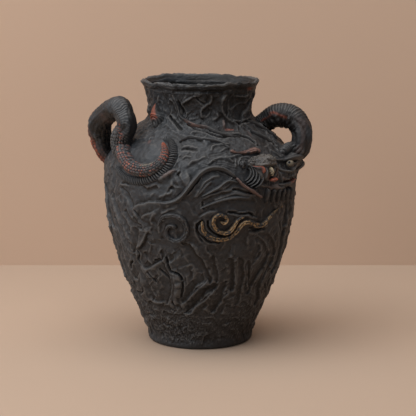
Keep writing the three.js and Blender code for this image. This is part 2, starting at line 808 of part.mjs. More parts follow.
// A flat spiral route: turns round a centre on the wall, its radius running from start to end
function spiral([angle, rise], start, end, from, sweep) {
  const perDegree = degrees(BELLY_RADIUS);
  const steps = Math.max(4, Math.round(Math.abs(sweep) / SPIRAL_STEP));
  return Array.from({ length: steps + 1 }, (_, i) => {
    const share = i / steps;
    const turn = degrees(from + sweep * share);
    const radius = THREE.MathUtils.lerp(start, end, share);
    return [angle + (radius * Math.cos(turn)) / perDegree, rise + radius * Math.sin(turn)];
  });
}

// The two scrolled clouds across the belly: a dark one, and one picked out in gilt with a long tail
function buildClouds() {
  const even = [CLOUD_PROUD, CLOUD_PROUD, CLOUD_PROUD, CLOUD_PROUD / 3];
  const darkScroll = spiral([-15, -42], 3.5, 20, 30, 500);
  layStrip("dark_cloud", darkScroll, [2, 3, CLOUD_HALF, 1.5], even, "smooth_charcoal");
  const giltScroll = [
    [11.8, -31.4],
    [14, -33.6],
    [15.6, -30.6],
    [14.6, -26.4],
    [11.6, -24],
    [8.8, -26.2],
    [7.8, -31.4],
    [8.6, -37.4],
    [11, -42.4],
    [14.2, -44.8],
    [17.4, -43.4],
    [19.6, -38.8],
    [21.4, -33.4],
    [23.6, -29.6],
    [26.6, -27.6],
  ];
  const scrollRise = [CLOUD_PROUD, CLOUD_PROUD + 0.6, CLOUD_PROUD];
  layStrip("gilt_cloud", giltScroll, [1.7, 2.2, 2.3, 2.2, 1.2], scrollRise, "gilt", { step: FINE_STEP });
  const tail = [
    [1.4, -31],
    [1.8, -39.7],
    [4.2, -46.4],
    [8.4, -50.6],
    [13.4, -51.6],
    [18, -49.8],
    [21.4, -44.6],
    [23.8, -38.6],
    [26.6, -34.6],
    [30, -34.6],
    [34.4, -38.5],
    [38, -39.7],
    [41, -38.1],
    [43.4, -34.2],
    [46, -30.2],
    [49.6, -27],
    [53.4, -24.2],
  ];
  const tailHalf = [CLOUD_HALF / 2, 2.5, 2.5, 2.6, CLOUD_HALF, 2.4, 1];
  const tailRise = [2, CLOUD_PROUD, CLOUD_PROUD, CLOUD_PROUD, 3, 1];
  layStrip("gilt_cloud_tail", tail, tailHalf, tailRise, "gilt");
}

buildPot();
buildFace();
buildHandles();
buildCoil();
buildTailTip();
buildWhisker();
buildMane();
buildClouds();

export default jar;
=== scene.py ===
"""A hand-built stoneware jar with a dragon in relief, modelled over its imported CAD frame.

Modelling lengths are millimetres and turn into metres where a mesh is made. Angles run round the
jar in degrees from the front, which is -Y, towards +X. A place on the wall is an angle and a rise,
its height above the belly line.
"""
import math

import bpy
import numpy as np
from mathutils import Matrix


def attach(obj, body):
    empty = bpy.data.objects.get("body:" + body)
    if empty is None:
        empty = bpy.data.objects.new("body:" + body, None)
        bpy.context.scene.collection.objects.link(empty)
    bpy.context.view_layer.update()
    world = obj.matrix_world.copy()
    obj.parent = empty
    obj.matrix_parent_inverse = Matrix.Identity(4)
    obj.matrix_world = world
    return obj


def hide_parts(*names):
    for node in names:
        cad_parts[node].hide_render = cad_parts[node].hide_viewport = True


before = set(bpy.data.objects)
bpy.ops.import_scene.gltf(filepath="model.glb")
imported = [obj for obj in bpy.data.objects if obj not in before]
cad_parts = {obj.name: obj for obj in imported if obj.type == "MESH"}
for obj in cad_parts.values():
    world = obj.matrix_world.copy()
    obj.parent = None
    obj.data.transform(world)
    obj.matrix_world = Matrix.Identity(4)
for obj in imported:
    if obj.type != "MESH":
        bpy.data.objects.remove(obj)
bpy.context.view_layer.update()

bl_info = {
    "name": "Dragon Jar",
    "version": (1, 0, 0),
    "blender": (4, 5, 0),
    "location": "View3D > Sidebar > Dragon Jar",
    "description": "Models a two-handled stoneware jar with a dragon in relief, and its studio",
    "category": "Add Mesh",
}

MM = 0.001
BODY = "root"
MERGE = 2e-6

# The wall's outline, as in the CAD: radius and height
BELLY = 188.0
FOOT_RADIUS = 60.5
FOOT_EDGE = 5.0
FOOT_TOP = 12.0
WALL = 9.0
DEEPEST = 4.6
OUTLINE = (
    ((60.5, 12.0), (88.8, 73.6), (109.5, 126.4), (109.5, 188.0)),
    ((109.5, 188.0), (109.5, 238.2), (58.5, 245.8), (58.5, 264.0)),
    ((58.5, 264.0), (58.5, 275.9), (62.8, 289.2), (66.0, 300.0)),
)
LOWER_JOINT, BELLY_JOINT, SHOULDER_JOINT, RIM_JOINT = 104.0, 200.0, 260.0, 289.0

# The chart of the wall
COLUMNS = 720
COLUMN = 360.0 / COLUMNS
ROW = 1.0


def bezier(points, count):
    """Points of a cubic Bezier curve."""
    a, b, c, d = (np.array(p) for p in points)
    t = np.linspace(0, 1, count)[:, None]
    return a * (1 - t) ** 3 + 3 * b * t * (1 - t) ** 2 + 3 * c * t * t * (1 - t) + d * t ** 3


def outline_points():
    """The whole outer outline from the underside of the foot to the lip."""
    turn = np.radians(np.linspace(-90, 0, 12))
    corner = FOOT_RADIUS - FOOT_EDGE
    edge = np.stack([corner + FOOT_EDGE * np.cos(turn), FOOT_EDGE + FOOT_EDGE * np.sin(turn)], 1)
    curves = [bezier(points, 400)[1:] for points in OUTLINE]
    return np.concatenate([edge, [[FOOT_RADIUS, FOOT_TOP]], *curves])


LINE = outline_points()
LINE_STEP = np.hypot(*np.diff(LINE, axis=0).T)
LINE_S = np.concatenate([[0], np.cumsum(LINE_STEP)])
LINE_R, LINE_Z = LINE.T
LINE_Y = np.concatenate([[0], np.cumsum(LINE_STEP * 2 / (LINE_R[1:] + LINE_R[:-1]))])
LINE_TURN = np.unwrap(np.arctan2(np.gradient(LINE_Z, LINE_S), np.gradient(LINE_R, LINE_S)))


def chart_rows():
    """Arc lengths of the chart's rows, with a row on each joint between two rings."""
    stops = [0, FOOT_TOP, LOWER_JOINT, BELLY_JOINT, SHOULDER_JOINT, RIM_JOINT]
    lengths = np.interp(stops, LINE_Z, LINE_S)
    rows = [lengths[:1]]
    for low, high in zip(lengths, lengths[1:]):
        rows.append(np.linspace(low, high, round((high - low) / ROW) + 1)[1:])
    return np.concatenate(rows)


ROW_S = chart_rows()
ROW_Y = np.interp(ROW_S, LINE_S, LINE_Y)
ROW_Z = np.interp(ROW_S, LINE_S, LINE_Z)
ANGLES = np.arange(COLUMNS) * COLUMN - 180

# The columns of a closed ring, with the first one again at the end
CLOSED = np.arange(COLUMNS + 1)
CLOSED_ANGLES = CLOSED * COLUMN - 180


def round_axis(radius, x, height):
    """Points in space at a radius and a height, x radians round the jar from its front."""
    return np.stack(np.broadcast_arrays(radius * np.sin(x), -radius * np.cos(x), height), -1)


def wall_point(x, y, lift):
    """Points in space, for places on the chart raised off the wall by lift."""
    turn = np.interp(y, LINE_Y, LINE_TURN)
    radius = wall_radius(y) + lift * np.sin(turn)
    return round_axis(radius, x, np.interp(y, LINE_Y, LINE_Z) - lift * np.cos(turn))


def on_chart(angle, rise):
    """Chart place of an angle in degrees and a rise above the belly line."""
    return np.radians(angle), np.interp(BELLY + np.asarray(rise, float), LINE_Z, LINE_Y)


def wall_radius(y):
    """Radius of the wall's outline at a height on the chart."""
    return np.interp(y, LINE_Y, LINE_R)


def unit(vectors):
    """Vectors made one long."""
    return vectors / np.linalg.norm(vectors, axis=-1, keepdims=True)


def smooth(low, high, value):
    """A soft step from 0 at low to 1 at high."""
    t = np.clip((value - low) / (high - low), 0, 1)
    return t * t * (3 - 2 * t)


def curve_through(points, pieces):
    """A centripetal Catmull-Rom curve through points, as many close points."""
    p = np.asarray(points, float)
    p = np.concatenate([[2 * p[0] - p[1]], p, [2 * p[-1] - p[-2]]])
    knots = np.concatenate([[0], np.cumsum(np.linalg.norm(np.diff(p, axis=0), axis=1) ** 0.5)])
    made = []
    for i in range(1, len(p) - 2):
        t0, t1, t2, t3 = knots[i - 1:i + 3]
        t = np.linspace(t1, t2, pieces, endpoint=False)[:, None]
        a1 = (t1 - t) / (t1 - t0) * p[i - 1] + (t - t0) / (t1 - t0) * p[i]
        a2 = (t2 - t) / (t2 - t1) * p[i] + (t - t1) / (t2 - t1) * p[i + 1]
        a3 = (t3 - t) / (t3 - t2) * p[i + 1] + (t - t2) / (t3 - t2) * p[i + 2]
        b1 = (t2 - t) / (t2 - t0) * a1 + (t - t0) / (t2 - t0) * a2
        b2 = (t3 - t) / (t3 - t1) * a2 + (t - t1) / (t3 - t1) * a3
        made.append((t2 - t) / (t2 - t1) * b1 + (t - t1) / (t2 - t1) * b2)
    return np.concatenate(made + [p[-2:-1]])


def even(points, count):
    """A curve's points again, evenly spaced, and its length."""
    steps = np.linalg.norm(np.diff(points, axis=0), axis=1)
    walked = np.concatenate([[0], np.cumsum(steps)])
    at = np.linspace(0, walked[-1], count)
    return np.stack([np.interp(at, walked, c) for c in points.T], 1), walked[-1]


LATTICE = np.random.default_rng(11).uniform(-1, 1, (256, 256))


def speckle(u, v, seed=0, around=256):
    """Smooth noise from -1 to 1, one cell to a unit, that repeats after around cells of u."""
    u, v = np.broadcast_arrays(np.asarray(u, float), np.asarray(v, float))
    iu, iv = np.floor(u).astype(int), np.floor(v).astype(int)
    fu, fv = smooth(0, 1, u - iu), smooth(0, 1, v - iv)

    def corner(a, b):
        return LATTICE[(iu + a) % around, (iv + b + 37 * seed) % 256]

    low = corner(0, 0) * (1 - fu) + corner(1, 0) * fu
    high = corner(0, 1) * (1 - fu) + corner(1, 1) * fu
    return low * (1 - fv) + high * fv


# The relief of the wall: lift off the outline for each row and column of the chart, and pigment
lift = np.zeros((len(ROW_S), COLUMNS))
WANDER = [
    sum(size * speckle(np.arange(COLUMNS)[None, :] / COLUMNS * cells,
                       ROW_Y[:, None] * cells / (2 * math.pi), seed + k, cells)
        for k, (cells, size) in enumerate(((44, 1.5), (120, 0.7), (250, 0.35))))
    for seed in (12, 16)
]
pigment = np.zeros((len(ROW_S), COLUMNS, 4))
RED, GOLD, ROSE, BONE = range(4)


def route_line(route, pieces):
    """A smooth line through a route's places on the chart, and the wall's radius there."""
    line = curve_through(np.stack(on_chart(*np.array(route, float).T), 1), pieces)
    return line, wall_radius(line[:, 1].mean())


def near(route, reach, wander=0.6):
    """The chart samples within reach of a route, with each one's share along the route, its
    distance to the left of it and the route's length."""
    line, radius = route_line(route, 8)
    pad = reach / radius
    rows = np.nonzero((ROW_Y > line[:, 1].min() - pad) & (ROW_Y < line[:, 1].max() + pad))[0]
    first, last = np.degrees([line[:, 0].min() - pad, line[:, 0].max() + pad]) + 180
    columns = np.arange(math.floor(first / COLUMN), math.ceil(last / COLUMN) + 1)
    px, py = np.meshgrid(np.radians(columns * COLUMN - 180), ROW_Y[rows])
    at = np.ix_(rows, columns % COLUMNS)
    px, py = px + wander * WANDER[0][at] / radius, py + wander * WANDER[1][at] / radius
    return at, *beside(line, px, py, radius)


def beside(line, px, py, radius):
    """For places on the chart: the share along a line, the distance to the left of it and its
    length."""
    a, step = line[:-1], np.diff(line, axis=0)
    long = np.linalg.norm(step, axis=1)
    dx, dy = px[..., None] - a[:, 0], py[..., None] - a[:, 1]
    t = np.clip((dx * step[:, 0] + dy * step[:, 1]) / long ** 2, 0, 1)
    ex, ey = dx - t * step[:, 0], dy - t * step[:, 1]
    apart = np.hypot(ex, ey)
    best = apart.argmin(-1)[..., None]

    def pick(values):
        return np.take_along_axis(values, best, -1)[..., 0]

    walked = np.concatenate([[0], np.cumsum(long)])
    share = (walked[best[..., 0]] + pick(t) * long[best[..., 0]]) / walked[-1]
    side = np.sign(pick(step[:, 0] * dy - step[:, 1] * dx))
    return share, side * pick(apart) * radius, walked[-1] * radius


def taper(share, length, run):
    """Fades out over run at both ends of a route."""
    return smooth(0, run, np.minimum(share, 1 - share) * length)


def ridge(route, half, height, sharp=2.0):
    """A raised line of clay."""
    at, share, across, length = near(route, 3 * half)
    ragged = 1.3 + 0.45 * speckle(share * length / 4, half + 2.3, 10)
    bell = np.exp(-(np.abs(across) / half) ** sharp)
    lift[at] += height * ragged * bell * taper(share, length, 2 * half)


def cut(route, half, depth, lips=0.25):
    """A narrow groove with the clay pushed up a little on both sides."""
    at, share, across, length = near(route, 4 * half)
    groove = -depth * np.exp(-(across / half) ** 2)
    pushed = lips * depth * np.exp(-((np.abs(across) - 1.9 * half) / half) ** 2)
    ragged = 1.5 + 0.5 * speckle(share * length / 4, half + 5.3, 11)
    lift[at] += ragged * (groove + pushed) * taper(share, length, 2.5 * half)


def flap(route, rise, run, under=0.5):
    """A layer of clay that ends in a sharp edge: high to the left of the route."""
    at, share, across, length = near(route, 3 * run)
    high = rise * np.exp(-np.maximum(across, 0) / run)
    low = -under * rise * np.exp(-np.maximum(-across, 0) / (0.3 * run))
    edge = smooth(-0.5, 0.5, across)
    high = high * (1.4 + 0.4 * speckle(share * length / 5, run, 14))
    lift[at] += (edge * high + (1 - edge) * low) * taper(share, length, 1.2 * run)


def heap(q, start, out):
    """Clay pushed up along an edge at q = start, steep within it and falling off over out."""
    past = q - start
    return np.exp(-(np.maximum(past, 0) / out) - (np.minimum(past, 0) / 0.12) ** 2)


def smear(route, half, depth, lip=0.9, keep=0.25):
    """The trough that a finger leaves: it wipes what was there and pushes a ragged lip up, mostly
    on its deep side, the left of the route."""
    at, share, across, length = near(route, 2.4 * half, 1.3)
    q = np.abs(across) / half
    inside = smooth(1.12, 0.88, q)
    before = lift[at]
    tilt = 0.45 + 0.55 * np.clip(across / half, -1, 1)
    made = keep * before - depth * (tilt + 0.35 * (1 - np.minimum(q, 1) ** 2))
    ragged = 0.65 + 0.6 * speckle(share * length / 5, 3.3 + half, 9)
    pushed = lip * ragged * heap(q, 1.02, 0.42) * smooth(-0.7, 0.7, across / half)
    lift[at] = before * (1 - inside) + made * inside + pushed


def comb(route, half, pitch, height):
    """Fine hair lines that run side by side along a route."""
    at, share, across, length = near(route, 1.2 * half)
    lines = np.cos(2 * np.pi * across / pitch + 0.9 * np.sin(9 * share))
    fade = smooth(1, 0.7, np.abs(across) / half) * taper(share, length, half)
    lift[at] += height * lines * fade


def window(angle, y, reach):
    """The chart samples within reach of a place, and how far round and up each one is from it."""
    rows = np.nonzero(np.abs(ROW_Y - y) < reach)[0]
    centre, span = (angle + 180) / COLUMN, math.degrees(reach) / COLUMN
    columns = np.arange(math.floor(centre - span), math.ceil(centre + span) + 1)
    turned_by = np.radians(columns * COLUMN - 180) - np.radians(angle)
    return np.ix_(rows, columns % COLUMNS), *np.meshgrid(turned_by, ROW_Y[rows] - y)


def dab(angle, rise, round_half, up_half, height, power=2.0):
    """A soft mound, or a dent where height is negative."""
    y = on_chart(angle, rise)[1]
    radius = wall_radius(y)
    at, u, v = window(angle, y, 2.6 * max(round_half, up_half) / radius)
    apart = np.hypot(u * radius / round_half, v * radius / up_half)
    lift[at] += height * np.exp(-apart ** power)
    return at, apart


def stain(channel, route, half, amount):
    """Pigment rubbed along a route."""
    at, share, across, length = near(route, 2 * half)
    worn = 0.75 + 0.25 * speckle(share * length / 2.5, across / 2.0, channel)
    laid = amount * smooth(1, 0.35, np.abs(across) / half) * worn * taper(share, length, half)
    pigment[at[0], at[1], channel] = np.maximum(pigment[at[0], at[1], channel], laid)


GROUND_STROKES = 3000


def knead():
    """The ground: finger strokes wiped one over another all round the jar."""
    random = np.random.default_rng(5)
    top = np.interp(RIM_JOINT - 1, LINE_Z, LINE_Y)
    for _ in range(GROUND_STROKES):
        x, y = random.uniform(-math.pi, math.pi), random.uniform(0.02, top)
        radius = wall_radius(y)
        z = float(np.interp(y, LINE_Y, LINE_Z))
        share = 0.35 if z > 215 else 1.0 if z < 160 else 0.75
        half = random.uniform(3.0, 6.6) * (0.7 + 0.3 * share)
        long = random.uniform(6, 14) * (0.7 + 0.3 * share)
        lean = math.radians(random.normal(-15 if z < 110 else 5, 38))
        depth = random.uniform(0.5, 1.5) * (0.5 + 0.5 * share)
        lip = random.uniform(0.2, 1.3) * (0.5 + 0.5 * share)
        side = random.choice((-1, 1))
        at, u, v = window(math.degrees(x), y, (long + 2.4 * half) / radius)
        u, v = u * radius + 1.2 * WANDER[0][at], v * radius + 1.2 * WANDER[1][at]
        along = v * math.cos(lean) - u * math.sin(lean)
        across = side * (u * math.cos(lean) + v * math.sin(lean))
        past = np.maximum(np.abs(along) - long, 0)
        q = np.hypot(across, past) / half
        inside = smooth(1.1, 0.9, q)
        before = lift[at]
        tilt = 0.4 + 0.6 * np.clip(across / half, -1, 1)
        floor = -depth * (tilt + 0.3 * (1 - np.minimum(q, 1) ** 2)) * (0.6 + 0.4 * along / long)
        pushed = lip * heap(q, 1.0, 0.4) * smooth(-0.5, 0.8, across / half)
        pushed = pushed * smooth(-1.3, 0.5, along / long)
        lift[at] = before * (1 - inside) + (0.3 * before + floor) * inside + pushed


def calm(angle, rise, round_half, up_half, keep):
    """Wipes the ground strokes flatter inside an oval."""
    at, apart = dab(angle, rise, round_half, up_half, 0.0)
    lift[at] *= 1 - (1 - keep) * smooth(1.15, 0.75, apart)


# The finger strokes and folded ledges of the front, as in the CAD: a stroke has its half width,
# its depth and its route, and is deepest on its left. A ledge has its half width, rise and route.
FRONT_STROKES = (
    (7, 3.4, ((-9.5, -62), (-5, -74), (-0.5, -84.5), (4.5, -99))),
    (5, 2.8, ((0.5, -97), (-5.5, -105), (-9.5, -114), (-13, -125))),
    (6, 3.2, ((10, -107), (2.3, -114.5), (-3, -123.5), (-11, -138))),
    (6, 2.4, ((17, -107), (13.9, -120.5), (10, -135))),
    (4.5, 2.2, ((19.5, -79), (21.2, -95.5), (22.8, -111))),
    (5, 2.0, ((26.5, -80), (29, -100), (30, -131))),
    (4.5, 2.2, ((32.5, -83), (35.2, -100.5), (37.6, -120))),
    (5.5, 2.6, ((50.5, -75), (43, -96), (39, -110))),
    (5.5, 2.4, ((55, -84), (50, -100.5), (48.2, -114.5), (54, -136))),
    (7.5, 3.0, ((-28.5, -84), (-25.6, -97.5), (-25.3, -109.5), (-30, -128))),
    (7.5, 2.6, ((-48, -89), (-43.6, -106), (-41.5, -124))),
    (7.5, 2.8, ((-65, -75), (-63.5, -95), (-59.5, -115))),
    (7, 2.6, ((-63, -119), (-65, -134.5), (-65, -153))),
    (6.5, 2.6, ((-45, -138), (-36, -139), (-26, -138.5))),
    (5.5, 2.2, ((-52, -68), (-49, -86), (-54, -104))),
    (6, 2.2, ((62, -56), (66, -78), (64, -101))),
    (6.5, 2.0, ((-62, 16), (-62, 3), (-64.5, -12))),
    (7, 2.6, ((-62.5, -15), (-58, -30), (-50, -45))),
    (6.5, 2.4, ((-62.5, -44), (-56, -57), (-50, -71))),
    (6, 2.2, ((-42.5, -35), (-42, -51), (-48, -70))),
    (5.5, 2.0, ((39.5, -49), (48, -60), (56, -76))),
    (6, 2.0, ((58, -14), (63, -30), (61.5, -44))),
    (10, 3.0, ((60, 90), (50, 84), (45, 74))),
)
FRONT_LEDGES = (
    (3.4, 2.4, ((11, -110.5), (3, -124.5), (-7.2, -136.5), (-12.5, -142.5))),
    (3.0, 2.0, ((5.7, -99), (0.4, -107), (-7.4, -119))),
    (3.4, 2.0, ((-26.7, -129), (-34, -130), (-42, -128.5))),
    (3.0, 1.6, ((-44, -69), (-40, -65), (-36, -58), (-34, -52), (-31, -44))),
)

# The strokes round the sides and the back, as in the CAD
SIDE_STROKE_LENGTH = 38
SIDE_STROKE_HALF = 9
SIDE_STROKE_DEPTH = 3
SIDE_STROKE_LEAN = 28
SIDE_STROKE_PITCH = 26
SIDE_STROKE_ROW = 40
SIDE_STROKE_ROWS = 5
LOWEST_SIDE_STROKE = -146
FRONT_HALF_ANGLE = 68
DRESSED_HALF_ANGLE = 104
DRESSED_FROM = -10


def side_strokes():
    """Staggered rows of strokes that lean to and fro, as half width, depth and route."""
    made = []
    for row in range(SIDE_STROKE_ROWS):
        rise = LOWEST_SIDE_STROKE + SIDE_STROKE_ROW * row
        per_degree = math.radians(float(np.interp(BELLY + rise, LINE_Z, LINE_R)))
        step = SIDE_STROKE_PITCH / per_degree
        clear = FRONT_HALF_ANGLE if rise < DRESSED_FROM else DRESSED_HALF_ANGLE
        angle = clear + (step if row % 2 else step / 2)
        while angle < 360 - clear:
            lean = math.radians(SIDE_STROKE_LEAN * math.sin(2.1 * row + angle))
            up = SIDE_STROKE_LENGTH / 2 * math.cos(lean)
            aside = SIDE_STROKE_LENGTH / 2 * math.sin(lean) / per_degree
            uneven = math.sin(3.7 * row + 2 * angle)
            route = ((angle - aside, rise - up), (angle, rise), (angle + aside, rise + up))
            made.append((SIDE_STROKE_HALF + uneven, SIDE_STROKE_DEPTH + uneven / 2, route))
            angle += step
    return made


def press_strokes():
    """Wipes every main stroke into the wall, each a little over its neighbour."""
    for half, depth, route in (*side_strokes(), *FRONT_STROKES):
        smear(route, 0.92 * half, 0.9 * depth, lip=1.2)
    for half, rise, route in FRONT_LEDGES:
        flap(route, 0.75 * rise, 1.6 * half)


# The marks on each part of the wall, in the order in which they are made: a tool, its
# settings and a row of values for each mark. A route is a list of places.

# Cracks, rolls and small ledges of the lower wall
LOWER_WALL_MARKS = (
    (smear, {"lip": 1.1}, (
        ([(-31, -146), (-24, -150), (-16, -148)], 5, 1.5),
        ([(8, -74), (9, -86), (11, -100)], 3.5, 1.4),
        ([(-56, -128), (-50, -137), (-46, -148)], 5, 1.4),
        ([(24, -136), (33, -142), (44, -140)], 5, 1.2),
    )),
    (flap, {}, (
        ([(-22, -74), (-25, -78), (-31, -84), (-38, -90), (-42, -86)], 2.4, 9),
        ([(11, -110), (8, -112), (4, -117), (2, -125)], 1.6, 6),
        ([(23, -114.5), (19, -120), (16.5, -125.5)], 1.6, 5),
        ([(-7, -114), (-8.5, -120), (-12, -126)], 1.6, 4),
        ([(-48.5, -100), (-47, -115.5), (-49, -122), (-57, -128.5)], 1.8, 7),
        ([(12, -152), (7, -154), (1, -153)], 1.0, 5),
        ([(34, -156), (28, -155), (20, -157)], 0.9, 5),
    )),
    (cut, {}, (
        ([(-44, -69), (-42, -75), (-44, -80), (-42, -86)], 1.1, 3.0),
        ([(-22.3, -72.8), (-21.3, -82), (-20, -90), (-17, -92), (-13.8, -95),
          (-12.3, -102)], 1.2, 3.4),
        ([(-12.4, -102), (-12.6, -112), (-14.5, -124)], 1.0, 2.0),
        ([(-38, -93), (-35, -100), (-32.5, -106)], 1.0, 2.4),
        ([(-28.6, -88), (-24, -95), (-21, -101)], 1.0, 2.4),
        ([(-51, -84), (-55, -90), (-55, -96)], 1.2, 2.4), ([(-52, -133), (-51, -138)], 1.2, 2.4),
        ([(-23, -128), (-19.5, -134)], 1.2, 2.4), ([(57, -114), (62, -122)], 1.1, 2.0),
        ([(18, -105), (20, -101)], 1.3, 2.0), ([(48, -58), (48, -68), (51, -80)], 1.0, 1.6),
        ([(-53, -148), (-47, -151)], 1.3, 2.4),
    )),
    (ridge, {}, (
        ([(-17.9, -94), (-16.3, -103), (-16.8, -115.5), (-19.2, -127), (-18.7, -134)], 3.0, 2.2, 3),
        ([(51, -87), (51, -101), (51, -115)], 1.6, 1.4),
        ([(33, -84), (35, -100), (39, -119)], 1.2, 1.0),
    )),
    (dab, {}, (
        (19, -117, 2, 2, 1.2),
    )),
)

# Layers, ripples and bumps of the belly round the whisker and the clouds
BELLY_MARKS = (
    (calm, {}, (
        (-22, -30, 40, 34, 0.5), (-44, 0, 26, 26, 0.7), (12, -38, 44, 24, 0.3),
        (18, 6, 42, 26, 0.25), (34, -14, 26, 10, 0.1), (45, -40, 20, 12, 0.3),
    )),
    (smear, {}, (
        ([(-51, -4), (-46, -10), (-44, -20)], 4.5, 1.4), ([(-36, 4), (-31, -1), (-25, 2)], 4, 1.2),
        ([(-49, -30), (-44, -38), (-38, -42)], 4.5, 1.5),
        ([(37, -57), (43, -66), (47, -76)], 4, 1.3),
        ([(-1, 20), (-3, 13), (-5, 6), (-9, 0), (-13, -5)], 3, 1.2),
        ([(14, -13), (21, -13), (30, -15)], 6, 0.6),
    )),
    (flap, {}, (
        ([(-13, -10), (-17, -11), (-23, -11), (-30, -12), (-36, -15), (-40, -18),
          (-43, -22)], 1.9, 9),
        ([(-38, -33), (-40, -28), (-42, -24)], 1.4, 5),
        ([(-26, -20), (-30, -24), (-34, -26), (-36, -29), (-37, -33)], 1.4, 5),
        ([(-24, 23), (-30, 27), (-36, 27)], 0.8, 5),
        ([(-44, -69), (-40, -65), (-36, -58), (-34, -52), (-31, -44)], 1.5, 6),
        ([(-8, 5), (-6, 10), (-5, 14), (-6, 19), (-8, 23)], 1.5, 6),
        ([(37, -32), (33, -29), (29, -24), (25, -21), (22, -22), (19, -24)], 1.3, 5),
        ([(11, -19), (8, -20), (5, -21), (1, -24), (-1, -27)], 1.3, 5),
    )),
    (ridge, {}, (
        ([(-29, -39), (-30, -34), (-29, -29), (-27, -25), (-25, -23)], 1.5, 1.3),
        ([(-24, -48), (-25, -43), (-24, -36), (-23, -32), (-20, -30)], 1.4, 1.3),
        ([(-23, -24), (-19, -21), (-16, -18), (-13, -18)], 1.3, 1.2),
        ([(-16, 5), (-16, 0), (-20, -3), (-23, -6), (-23, -8)], 1.5, 1.4),
        ([(-25, 12), (-21, 16), (-18, 20), (-14, 24)], 2.6, 2.4),
        ([(-3, -6), (0, 3), (2, 10), (5, 14), (8, 17), (12, 18)], 1.2, 1.1),
        ([(-2, -6), (1, 1), (4, 8), (7, 13)], 1.1, 0.9),
        ([(7, 3), (12, 5), (15, 9), (17, 13), (20, 16)], 1.2, 1.2),
        ([(12, 3), (16, 7), (19, 12), (22, 13)], 1.1, 1.0),
        ([(2, -7), (6, -3), (10, -1), (12, 1), (17, 2), (20, 4)], 1.3, 1.2),
        ([(8, -9), (12, -6), (17, -3), (21, -2), (26, -4), (34, -6)], 1.5, 1.3),
        ([(15, -7), (21, -6), (30, -8)], 1.1, 0.9), ([(68, -21), (72, -28), (74, -35)], 1.6, 1.6),
        ([(-8, -55), (-4, -60), (-2, -66)], 1.6, 1.0),
    )),
    (cut, {}, (
        ([(-13, 17), (-12, 20), (-11, 23)], 1.1, 1.8),
        ([(18, 3), (22, 2), (27, -1), (32, -4)], 1.0, 1.5),
        ([(2, -9), (2, -14), (3, -19)], 0.9, 1.0), ([(-41, -43), (-37, -44), (-35, -46)], 1.1, 1.4),
        ([(56, -40), (59, -51), (60, -63)], 1.3, 1.8),
        ([(30, -44), (36, -46), (40, -44), (44, -47)], 1.5, 2.0),
        ([(2, -56), (-1, -48), (-2, -40), (-1, -34), (2, -29)], 1.1, 1.6),
        ([(-52, 4), (-48, 6), (-44, 4)], 1.2, 1.2),
        ([(15.2, -20.6), (18.8, -21.6), (22.6, -23.6), (26, -24.2), (29.6, -25),
          (33, -30)], 1.0, 2.4),
        ([(4.4, -29), (4.8, -37), (7, -42.6), (10.4, -46.8), (14.6, -48.4),
          (18.4, -46.4)], 1.1, 3.0),
        ([(-1.6, -32), (-2, -38), (-1.2, -44), (1.6, -50), (6, -54.6), (13, -56)], 1.1, 2.6),
        ([(30, -40), (34, -43.4), (38.4, -44.6), (42, -42)], 1.2, 2.4),
    )),
    (dab, {}, (
        (-16, 5, 2.2, 2.2, -1.8), (-23, -52, 2, 2, -1.8), (-15, -42, 17, 17, 1.2, 4),
        (-9.5, 13, 7, 8, 1.2, 4), (65, -45, 5, 7, 1.6, 4),
    )),
)

